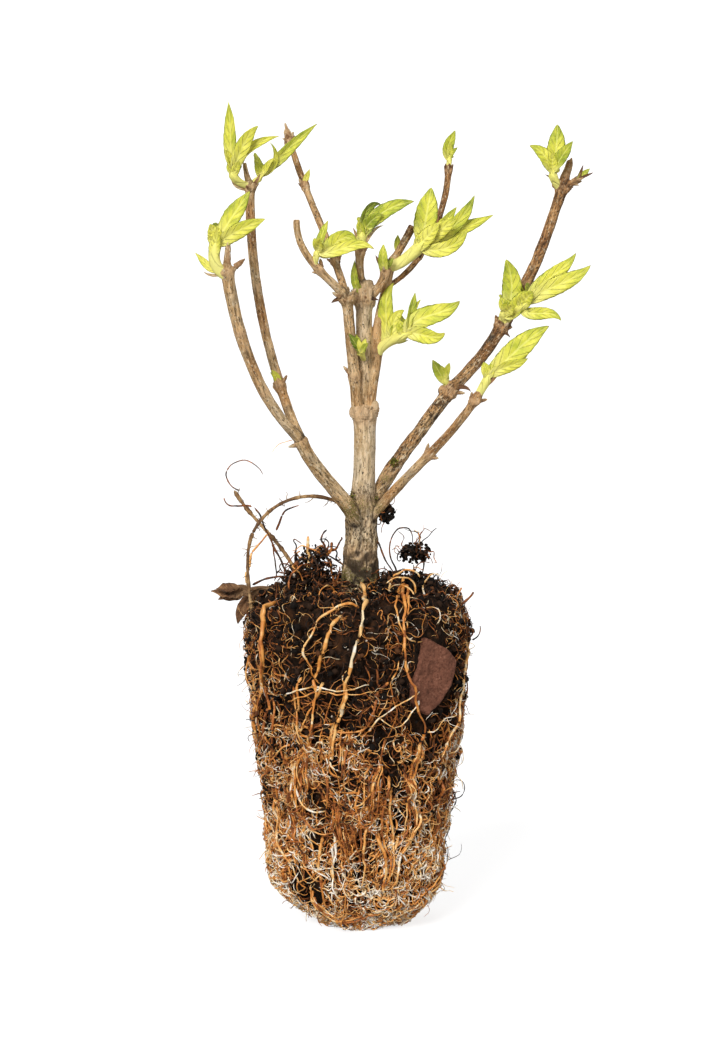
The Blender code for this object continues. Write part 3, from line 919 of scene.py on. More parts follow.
LIMBS = (
    Limb("trunk", "", 0.0, Course(0, (0, 2, 3), 39.5), 14.2, 11.2, 0.12, 0.9,
        ((0.4, 0.05, 0), (1.0, 0.1, 0)), mosses=((0.18, 9.0, 0.6), (0.62, 5.0, 0.15), (0.95, 4.5, 0.45)),
        collar=0.0, shift=TRUNK_FOOT),
    Limb("centre_stem", "trunk", 0.9, Course(26, (5, 1, 0), 41.5), 8.9, 8.6, 0.04, 0.4,
        ((0.95, 0.1, 12), (0.87, 0.05, 0)), mosses=((0.0, 4.0, 0.3),), collar=0.12),
    Limb("centre_leader", "centre_stem", 0.95, Course(76, (8, -1, 2), 56.5), 5.2, 7.0, 0.13, 0.45,
        ((0.86, 0.3, 14), (0.93, 0.25, 2)), collar=0.06, cut=True, shift=(-0.6, 0.6, -5.0)),
    Limb("centre_left_stem", "centre_stem", 0.95, Course(-126, (8, 9, 9), 51.0), 4.6, 4.2, 0.48, 0.5,
        ((0.35, 0.2, 2), (0.97, 0.65, 18)), collar=0.08, shift=(-2.7, -0.9, -4.0)),
    Limb("centre_right_stem", "centre_stem", 0.95, Course(50, (-13, 14, 5), 28.5), 4.8, 4.4, 0.5, 0.4,
        ((1.0, 0.22, 2),), collar=0.08, shift=(2.3, 0.3, -4.5)),
    Limb("tan_stem", "centre_right_stem", 0.97, Course(39, (-7, 17, -1), 36.5), 4.4, 3.6, 0.5, 0.05,
        ((0.94, 0.3, 2),), collar=0.2),
    Limb("right_cut_stub", "tan_stem", 0.97, Course(24, (45, 33, 32), 18.0), 3.2, 3.3, 0.85, 0.8, (),
        collar=0.2, cut=True),
    Limb("left_cut_stub", "centre_left_stem", 0.97, Course(-155, (42, 42, -4), 39.5), 3.6, 2.6, 0.45,
        0.35, ((0.42, 0.3, 2),), collar=0.3, cut=True),
    Limb("tall_twig", "centre_left_stem", 0.97, Course(135, (21, 31, 20), 72.5), 3.2, 2.5, 0.62, 0.5,
        ((0.22, 0.3, 10), (0.68, 0.35, 10), (0.955, 0.5, 10)), collar=0.3),
    Limb("centre_top_twig", "centre_leader", 0.97, Course(-114, (57, 8, -18), 16.5), 2.8, 3.8, 0.6, 0.4,
        ((0.85, 0.2, 2),)),
    Limb("right_twig", "centre_leader", 0.78, Course(-14, (13, 38, -5), 19.5), 3.8, 3.4, 0.7, 0.5,
        ((0.95, 0.25, 2),)),
    Limb("back_twig", "tan_stem", 0.72, Course(47, (73, 38, 4), 64.0), 2.2, 2.8, 0.9, 0.6,
        ((0.35, 0.25, 2), (0.47, 0.25, 2), (0.96, 0.25, 2))),
    Limb("left_bough", "trunk", 0.7, Course(-147, (29, 43, 24), 48.0), 6.4, 5.2, 0.37, 0.55,
        ((1.0, 0.15, 0),), mosses=((0.2, 6.0, 0.65), (0.95, 3.0, 0.25)), collar=0.15,
        shift=(0.0, -2.0, 0.0)),
    Limb("left_outer_bough", "left_bough", 0.98, Course(-147, (49, 24, 9), 79.5), 3.9, 5.0, 0.38, 0.45,
        ((0.33, 0.05, 0), (0.66, 0.06, 0), (0.97, 0.25, 2))),
    Limb("left_inner_bough", "left_bough", 0.98, Course(149, (27, 13, -2), 104.5), 3.9, 3.6, 0.55, 0.5,
        ((0.22, 0.35, 8), (0.6, 0.04, 0), (0.985, 0.5, 8))),
    Limb("left_outer_tip", "left_outer_bough", 0.98, Course(-70, (13, 2, -5), 11.5), 3.5, 1.0, 0.6, 0.6,
        (), collar=0.2),
    Limb("left_inner_tip", "left_inner_bough", 0.98, Course(-169, (14, 14, -3), 10.0), 3.3, 1.4, 0.6, 0.5,
        (), collar=0.2),
    Limb("right_bough", "trunk", 0.7, Course(16, (17, 37, 36), 66.5), 6.0, 5.0, 0.6, 0.85,
        ((0.32, 0.08, 0), (0.97, 0.35, 8)), mosses=((0.16, 6.0, 0.4), (0.32, 2.5, 0.5)), collar=0.15,
        shift=(1.5, 1.5, 0.0)),
    Limb("right_bough_middle", "right_bough", 0.98, Course(17, (49, 41, 31), 34.0), 5.0, 4.8, 0.8, 0.75,
        ((0.98, 0.35, 10),), collar=0.1),
    Limb("right_bough_upper", "right_bough_middle", 0.98, Course(26, (38, 25, 18), 63.0), 4.8, 4.3, 0.9,
        0.65, ((0.3, 0.06, 0), (0.98, 0.55, 10)), collar=0.1),
    Limb("right_top_tip", "right_bough_upper", 0.98, Course(20, (20, 16, 13), 11.0), 4.2, 1.8, 0.6, 0.5,
        ((0.45, 0.1, 0),)),
    Limb("right_top_spur", "right_bough_upper", 0.98, Course(-22, (72, 68, 64), 7.0), 3.2, 2.6, 0.75, 0.5,
        ((1.0, 0.16, 0),)),
    Limb("right_lower_bough", "trunk", 0.72, Course(-29, (36, 46, 32), 76.5), 4.2, 3.1, 0.53, 0.45,
        ((0.54, 0.22, 2), (0.94, 0.5, 6)), mosses=((0.12, 4.0, 0.45),), collar=0.1,
        shift=(2.0, -1.0, 0.0)),
)


def limb_named(node: str) -> Limb:
    """The limb of that solid."""
    return next(limb for limb in LIMBS if limb.node == node)


@dataclass(frozen=True)
class Grove:
    """Limbs that are fused in one piece of bark."""

    name: str
    slot: str
    grid: float
    limbs: tuple[str, ...]


GROVES = (
    Grove("main_wood", "old_bark", 0.37,
        ("trunk", "centre_stem", "left_bough", "right_bough", "right_lower_bough")),
    Grove("centre_wood", "young_bark", 0.36,
        ("centre_leader", "centre_left_stem", "centre_right_stem", "tan_stem", "right_cut_stub",
        "left_cut_stub", "tall_twig", "centre_top_twig", "right_twig", "back_twig")),
    Grove("left_wood", "young_bark", 0.34,
        ("left_outer_bough", "left_inner_bough", "left_outer_tip", "left_inner_tip")),
    Grove("right_wood", "young_bark", 0.34,
        ("right_bough_middle", "right_bough_upper", "right_top_tip", "right_top_spur")),
)


@dataclass(frozen=True)
class Along:
    """Where the points of a mesh lie along one limb."""

    share: np.ndarray
    turn: np.ndarray
    gap: np.ndarray
    way: np.ndarray


@dataclass(frozen=True)
class Knot:
    """The scar of a lost twig: its limb, its turn about it, its height along it and its size."""

    limb: str = "trunk"
    turn: float = -2.77
    along: float = 30.0
    radius: float = 1.5
    height: float = 0.7


@dataclass
class BarkWork:
    """Fuses limbs into pieces of bark, with ridges, knuckles, pores, crevices darkened by painted shade, and
    moss.
    """

    skeleton: Skeleton
    seed: int
    relief: float = 0.1
    rough_relief: float = 1.0
    lumps: float = 0.9
    dark_foot_height: float = 27.0
    seam: float = 0.55
    mingle: float = 1.3
    pore_pitch: float = 3.2
    knot: Knot = Knot()
    chance: np.random.Generator = field(init=False)
    noise: Lattice = field(init=False)

    def __post_init__(self) -> None:
        """Starts its source of chance and its noise."""
        self.chance = np.random.default_rng(self.seed)
        self.noise = Lattice(self.seed)

    def build(self, grove: Grove) -> bpy.types.Object:
        """Makes the bark of a grove's limbs.

        Args:
            grove: The grove.

        Returns:
            The piece that stands for their solids.
        """
        members = [limb for limb in LIMBS if limb.node in grove.limbs]
        bm = bmesh.new()
        for limb in members:
            self._add_limb(bm, limb)
        mesh = fuse(bm, grove.name, grove.grid)
        self._carve(mesh, members)
        return finish_piece(mesh, [Finish.BARK], grove.slot, *grove.limbs)

    def _add_limb(self, bm: bmesh.types.BMesh, limb: Limb) -> None:
        """Adds a limb's closed tube, with a rounded or a cut end, and the cushions of its nodes.

        Args:
            bm: The mesh that it is added to.
            limb: The limb.
        """
        route = self.skeleton.routes[limb.node]
        length = limb.course.length
        rows = max(10, round(length / 0.6))
        across = limb.course.across()
        frames = [frame_on(route, max(row - 1, 0) / (rows - 2), across) for row in range(rows)] + [
            frame_on(route, 1.0, across)
        ]
        for vert, turn, row in add_tube(bm, 20, rows):
            share = min(max(row - 1, 0) / (rows - 2), 1.0)
            radius = float(limb.radius(share)) * self._end(limb, (1 - share) * length)
            radius = 0.0 if row in (0, rows) else radius
            vert.co = frames[row] @ Vector((math.cos(turn) * radius, math.sin(turn) * radius, 0.0))
        for at, _, knobs in limb.knuckles:
            turn = self.chance.uniform(0, math.tau)
            for number in range(knobs):
                side = turn + number * math.tau / knobs + self.chance.normal(0, 0.25)
                radius = float(limb.radius(at)) * self.chance.uniform(0.72, 0.96)
                size = limb.base * self.chance.uniform(0.13, 0.27)
                drop = self.chance.uniform(-0.35, 0.25) * limb.base * (knobs > 2)
                spot = Matrix.Translation((math.cos(side) * radius, math.sin(side) * radius, drop))
                spot = frame_on(route, at, across) @ spot @ Matrix.Diagonal((size, size, size * 1.4, 1.0))
                bmesh.ops.create_icosphere(bm, subdivisions=2, radius=1.0, matrix=spot)

    @staticmethod
    def _end(limb: Limb, left: float) -> float:
        """Draws in the end of a limb.

        Args:
            limb: The limb.
            left: The length that is left to its end.

        Returns:
            The share of the radius that it keeps.
        """
        reach, blunt = (0.25, 0.9) if limb.cut else (limb.taper * limb.tip, 0.55)
        return 1 - (1 - blunt) * (1 - left / reach) ** 2 if left < reach else 1.0

    def _along(self, places: np.ndarray, limb: Limb) -> Along:
        """Finds where places lie along a limb.

        Args:
            places: The places.
            limb: The limb.

        Returns:
            Their shares of its length, turns about it, gaps off it and its directions there.
        """
        route = np.array(self.skeleton.routes[limb.node])
        squares = ((places[:, None, :] - route[None]) ** 2).sum(axis=2)
        nearest = squares.argmin(axis=1)
        share = np.zeros(len(places))
        best = np.full(len(places), np.inf)
        foot = np.zeros_like(places)
        for back in (1, 0):
            low = np.clip(nearest - back, 0, ROUTE_STEPS - 1)
            way = route[low + 1] - route[low]
            part = np.clip(((places - route[low]) * way).sum(axis=1) / (way * way).sum(axis=1), 0, 1)
            spot = route[low] + part[:, None] * way
            far = np.linalg.norm(places - spot, axis=1)
            closer = far < best
            best = np.where(closer, far, best)
            share = np.where(closer, (low + part) / ROUTE_STEPS, share)
            foot = np.where(closer[:, None], spot, foot)
        ways = unit(np.gradient(route, axis=0))
        way = unit(ways[np.round(share * ROUTE_STEPS).astype(int)])
        first = np.array(limb.course.across())[None, :] * np.ones((len(places), 1))
        first = unit(first - way * (first * way).sum(axis=1, keepdims=True))
        second = np.cross(way, first)
        offset = places - foot
        turn = np.arctan2((offset * second).sum(axis=1), (offset * first).sum(axis=1))
        beyond = (offset * way).sum(axis=1)
        share = share + beyond / limb.course.length
        return Along(share, turn, best - limb.radius(np.clip(share, 0, 1)) + 0.6 * np.abs(beyond), way)

    def _carve(self, mesh: bpy.types.Mesh, members: Sequence[Limb]) -> None:
        """Gives a fused skin its relief and its marks, and brings it to metres.

        Args:
            mesh: The skin, in millimetres.
            members: The limbs that it is made of.
        """
        count = len(mesh.vertices)
        places = np.empty(count * 3, dtype=np.float32)
        mesh.vertices.foreach_get("co", places)
        places = places.reshape(-1, 3).astype(float)
        spots = [self._along(places, limb) for limb in members]
        gaps = np.stack([spot.gap for spot in spots])
        order = np.argsort(gaps, axis=0)
        owner = order[0]
        other = order[min(1, len(members) - 1)]
        every = np.arange(count)
        ways = np.stack([spot.way for spot in spots])
        parted = np.clip(1.05 - np.abs((ways[owner, every] * ways[other, every]).sum(axis=1)), 0, 0.3) / 0.3
        seam = bell(np.maximum(gaps[other, every], 0.0), self.seam) * parted
        self._soften(mesh, bell(np.maximum(gaps[other, every], 0.0), 1.6) > 0.3)
        marks = self._marks(members, spots, gaps)
        rise = marks.pop("rise")
        grain = marks.pop("grain")
        # Painted shade: where two limbs meet at a fork, the skin is darkened as well as grooved.
        marks["crevice"] = np.clip(marks["crevice"] + 0.75 * seam, 0, 1)
        mesh.vertices.foreach_get("co", flat := np.empty(count * 3, dtype=np.float32))
        mesh.vertex_normals.foreach_get("vector", lean := np.empty(count * 3, dtype=np.float32))
        raised = (flat.reshape(-1, 3) + lean.reshape(-1, 3) * (rise - 0.12 * seam)[:, None]) * MM
        mesh.vertices.foreach_set("co", raised.astype(np.float32).ravel())
        mesh.attributes.new("grain", "FLOAT_VECTOR", "POINT").data.foreach_set(
            "vector", grain.astype(np.float32).ravel()
        )
        for name, values in marks.items():
            mesh.attributes.new(name, "FLOAT", "POINT").data.foreach_set("value", values.astype(np.float32))
        mesh.update()
        mesh.shade_smooth()

    @staticmethod
    def _soften(mesh: bpy.types.Mesh, where: np.ndarray) -> None:
        """Smooths a skin at its forks.

        Args:
            mesh: The skin.
            where: Whether each vertex is smoothed.
        """
        bm = bmesh.new()
        bm.from_mesh(mesh)
        bm.verts.ensure_lookup_table()
        verts = [bm.verts[index] for index in np.nonzero(where)[0]]
        smooth(bm, verts, 6)
        bm.to_mesh(mesh)
        bm.free()

    def _marks(
        self, members: Sequence[Limb], spots: Sequence[Along], gaps: np.ndarray
    ) -> dict[str, np.ndarray]:
        """Works out the relief of the bark and the masks of its finish.

        Args:
            members: The limbs.
            spots: Where each point lies along each limb.
            gaps: How far each point lies off each limb.

        Returns:
            The rise, the grain and the masks, by name.
        """
        weights = np.exp((gaps.min(axis=0) - gaps) / self.mingle)
        weights /= weights.sum(axis=0)
        marks = {"grain": np.zeros((gaps.shape[1], 3))}
        for limb, spot, weight, gap in zip(members, spots, weights, gaps):
            mine = weight > 0.02
            along = spot.share[mine] * limb.course.length
            turn = spot.turn[mine]
            radius = limb.radius(np.clip(spot.share[mine], 0, 1))
            flat = np.stack([np.cos(turn) * radius, np.sin(turn) * radius, along], axis=1)
            flat += (*self.chance.uniform(0, 90, 2), 0.0)
            for name, values in self._marks_on(limb, along, turn, flat).items():
                marks.setdefault(name, np.zeros(len(mine)))[mine] += weight[mine] * values
            own = (gap == gaps.min(axis=0))[mine]
            marks["grain"][mine] = np.where(own[:, None], flat, marks["grain"][mine])
        return marks

    def _marks_on(
        self, limb: Limb, along: np.ndarray, turn: np.ndarray, flat: np.ndarray
    ) -> dict[str, np.ndarray]:
        """Works out the rise and the masks of one limb.

        Args:
            limb: The limb.
            along: How far up it each point lies.
            turn: Its turn about the limb.
            flat: Its straightened coordinates.

        Returns:
            The rise and the masks, by name.
        """
        ridge = self.noise.at(flat * (1, 1, 0.14), 0.8)
        lump = self.noise.at(flat * (1, 1, 0.55), 2.4)
        fine = self.noise.at(flat * (1, 1, 0.4), 0.5)
        swell = self.noise.at(flat * (1, 1, 0.5), 4.6)
        length = limb.course.length
        ring = sum((bell(along - at * length, 0.34 * limb.base) for at, _, _ in limb.knuckles), 0 * along)
        moss = sum((by * bell(along - at * length, reach) for at, reach, by in limb.mosses), 0 * along)
        old = limb_named(limb.parent) if limb.parent else limb
        own = ease((along - 0.4 * limb.base) / (1.2 * limb.base))
        rough = old.rough + (limb.rough - old.rough) * own
        age = old.age + (limb.age - old.age) * own
        gnarled = rough ** 2 * limb.base / 14
        depth = self.relief + self.rough_relief * gnarled
        rise = depth * (0.5 * ridge + 0.6 * lump + 0.3 * fine) + self.lumps * gnarled * swell
        low = np.clip((-ridge - 0.3) * 2.2, 0, 1) + np.clip((-lump - 0.35) * 2.0, 0, 1)
        # The trunk is darkened round its foot in blots, most at about 14 mm up and on its right side, fading
        # out higher up.
        dark_foot = 0.0
        if not limb.parent:
            right = np.cos(turn + 1.9) * ease((20 - along) / 12)
            blots = 0.7 * self.noise.at(flat, 4.2) + 0.8 * self.noise.at(flat, 1.3)
            dark_foot = np.clip((0.45 * bell(along - 14, 4.5) + 0.6 * right + blots - 0.05) * 1.7, 0, 1)
            dark_foot = dark_foot * ease((self.dark_foot_height - along) / 15)
        # Painted shade: the low places between the bark's ridges and lumps are darkened, more on rough bark;
        # the darker foot joins the same mask.
        marks = {
            "rise": rise + 0.06 * ring * np.cos(along * math.tau / 1.1),
            "crevice": np.clip(low * rough * 0.8 + 0.9 * dark_foot, 0, 0.92),
            "age": np.clip(age + 0.12 * lump + 0.3 * swell, 0, 1),
            "rough": rough,
            "ring": np.clip(ring, 0, 1),
            "moss": np.clip(moss + 0.3 * moss * lump, 0, 1),
            "pore": self._pores(limb, along, turn),
        }
        if limb.node == self.knot.limb:
            swing = (turn - self.knot.turn + math.pi) % math.tau - math.pi
            self._add_knot(marks, np.hypot(swing * limb.base / 2, along - self.knot.along))
        return marks

    def _add_knot(self, marks: dict[str, np.ndarray], far: np.ndarray) -> None:
        """Raises the healed ring of a lost twig, with a dark eye.

        Args:
            marks: The rise and the masks, which it changes.
            far: The distance from its middle.
        """
        ring = bell(far - self.knot.radius, 0.45 * self.knot.radius)
        eye = bell(far, 0.5 * self.knot.radius)
        marks["rise"] += self.knot.height * (ring - 0.6 * eye)
        marks["ring"] = np.maximum(marks["ring"], ring)
        # The sunken eye is darkened in the same mask that carries the painted shade.
        marks["crevice"] = np.maximum(marks["crevice"] * (1 - ring), 0.9 * eye)

    def _pores(self, limb: Limb, along: np.ndarray, turn: np.ndarray) -> np.ndarray:
        """Scatters pale pores over a limb.

        Args:
            limb: The limb.
            along: How far up it each point lies.
            turn: Its turn about the limb.

        Returns:
            How much of a pore lies there.
        """
        mask = np.zeros(len(along))
        for _ in range(round(limb.course.length / self.pore_pitch)):
            height = self.chance.uniform(0.04, 0.96) * limb.course.length
            side = self.chance.uniform(-math.pi, math.pi)
            size = self.chance.uniform(0.22, 0.42)
            swing = (turn - side + math.pi) % math.tau - math.pi
            pore = bell(swing * limb.base / 2, 0.75 * size) * bell(along - height, 1.2 * size)
            mask = np.maximum(mask, pore)
        return mask


@dataclass(frozen=True)
class Blade(Course):
    """A leaf or scale: how it grows, where on its shoot, its width, roll, tone, fold and fullness."""

    at: float
    width: float
    roll: float = 0.0
    tone: float = 0.3
    fold: float = 28.0
    full: float = 0.75
    twist: float = 0.0


@dataclass
class BladeWork:
    """Shapes leaves and scales: thin closed sheets, folded along the midrib and waved at the edge."""

    seed: int
    sides: int = 20
    rows: int = 26
    thickness: float = 0.26
    curl: float = 24.0
    stalk: float = 0.2
    teeth: int = 8
    quilt: float = 0.035
    toward: Place = (0.0, -1.0, 0.15)
    chance: random.Random = field(init=False)
    places: list[np.ndarray] = field(init=False, default_factory=list)
    marks: list[np.ndarray] = field(init=False, default_factory=list)

    def __post_init__(self) -> None:
        """Starts its source of chance and keeps the plain sheet that every blade is bent from."""
        self.chance = random.Random(self.seed)
        self.tube = Tube(self.sides, self.rows)
        self.share = self.tube.rows / self.rows
        self.closed = (self.share == 0) | (self.share == 1)

    def add(self, foot: Vector, blade: Blade, toward: Place | Vector | None = None) -> None:
        """Adds one blade.

        Args:
            foot: Where it springs.
            blade: The blade.
            toward: The direction that its upper side turns to before its roll.
        """
        route = blade.route(foot)
        look = Vector(toward or self.toward)
        frames = np.array([
            frame_on(route, row / self.rows, look, blade.roll + blade.twist * (row / self.rows - 0.5))
            for row in range(self.rows + 1)
        ])
        side = np.where(self.closed, 0.0, 1 - 2 * np.abs(self.tube.turns) / math.pi)
        face = np.where(self.closed, 0.0, np.sign(self.tube.turns) * np.sqrt(1 - side * side))
        local = self._section(blade, side, face)
        self.places.append(np.einsum("nij,nj->ni", frames[self.tube.rows], local)[:, :3])
        self.marks.append(np.stack([side, self.share, blade.tone - 0.08 * (face < 0)], axis=1))

    def _outline(self, full: float) -> np.ndarray:
        """Draws the outline of a blade.

        Args:
            full: How full it is.

        Returns:
            The share of its width that it has along its length.
        """
        body = np.abs(np.sin(math.pi * self.share ** 0.82)) ** (1.3 - 0.85 * full)
        body = body * (1 - 0.3 * ease((self.share - 0.72) / 0.28))
        return np.maximum(np.maximum(body, self.stalk * (1 - ease(self.share / 0.3))), 0.02)

    def _section(self, blade: Blade, side: np.ndarray, face: np.ndarray) -> np.ndarray:
        """The places of a blade across its route.

        Args:
            blade: The blade.
            side: From -1 at one edge to 1 at the other.
            face: From -1 under it to 1 on top.

        Returns:
            The places in the frames across the route, with a 1 behind them.
        """
        share = self.share
        wave = self.chance.uniform(0, math.tau)
        fold = np.radians(blade.fold * (1.25 - 0.6 * share))
        bend = -math.radians(self.curl)
        away = np.abs(side)
        half = blade.width / 2 * self._outline(blade.full) / np.cos(fold + bend / 2)
        edge = ease((away - 0.65) / 0.35)
        teeth = (np.abs((share * self.teeth) % 1 - 0.5) - 0.25) * 4 * np.sin(math.pi * share)
        half = half * (1 + 0.035 * edge * teeth)
        reach = half * (np.sin(fold + bend * away) - np.sin(fold)) / bend
        lift = half * (np.cos(fold) - np.cos(fold + bend * away)) / bend
        quilt = np.sin(math.pi * away) * np.sin(math.pi * share) * np.cos(math.tau * (share * 5 - 0.8 * away))
        wave = np.sin(wave + 9 * share + 2 * side) + 0.5 * np.sin(2 * wave + 17 * share - 2 * side)
        lift = lift + self.quilt * blade.width * quilt + 0.13 * half * edge * wave
        reach = np.sign(side) * reach
        return np.stack([reach, lift + face * self.thickness / 2, 0 * share, 0 * share + 1], axis=1)

    def add_shoot(self, shoot: Sequence[Vector], base: float, tip: float, tone: float) -> None:
        """Adds the fleshy shoot that carries leaves.

        Args:
            shoot: Its route.
            base: Its diameter at the foot.
            tip: Its diameter at the end.
            tone: Its tone.
        """
        look = Vector(self.toward)
        last = self.rows - 2
        along = [min(max(row - 1, 0) / last, 1.0) for row in range(self.rows + 1)]
        frames = np.array([frame_on(shoot, share, look) for share in along])
        share = np.array(along)[self.tube.rows]
        radius = (base + (tip - base) * share) / 2 * (1 + 0.08 * np.sin(3 * self.tube.turns + 4 * share))
        radius = np.where(self.closed, 0.0, radius * (1 - 0.75 * ease((share - 0.7) / 0.3)))
        turns = self.tube.turns
        local = [np.cos(turns) * radius, np.sin(turns) * radius, 0 * share, 0 * share + 1]
        local = np.stack(local, axis=1)
        self.places.append(np.einsum("nij,nj->ni", frames[self.tube.rows], local)[:, :3])
        side = 0.4 + 0.2 * np.sin(2 * self.tube.turns)
        self.marks.append(np.stack([side, 0.3 * share, tone + 0 * share], axis=1))

    def mesh(self, name: str) -> bpy.types.Mesh:
        """Joins what was added, and starts afresh.

        Args:
            name: The mesh's name.

        Returns:
            One mesh, in metres.
        """
        count = len(self.places)
        mesh = joined_mesh(name, np.array(self.places), self.tube.corners, np.zeros(count, dtype=int))
        leaf = mesh.attributes.new("leaf", "FLOAT_VECTOR", "POINT")
        leaf.data.foreach_set("vector", np.concatenate(self.marks).astype(np.float32).ravel())
        self.places, self.marks = [], []
        return mesh


@dataclass(frozen=True)
class Tuft:
    """A mass of leaves: its solid, its shoot on a limb, and its blades."""

    node: str
    parent: str
    at: float
    course: Course
    base: float
    tip: float
    blades: tuple[Blade, ...]


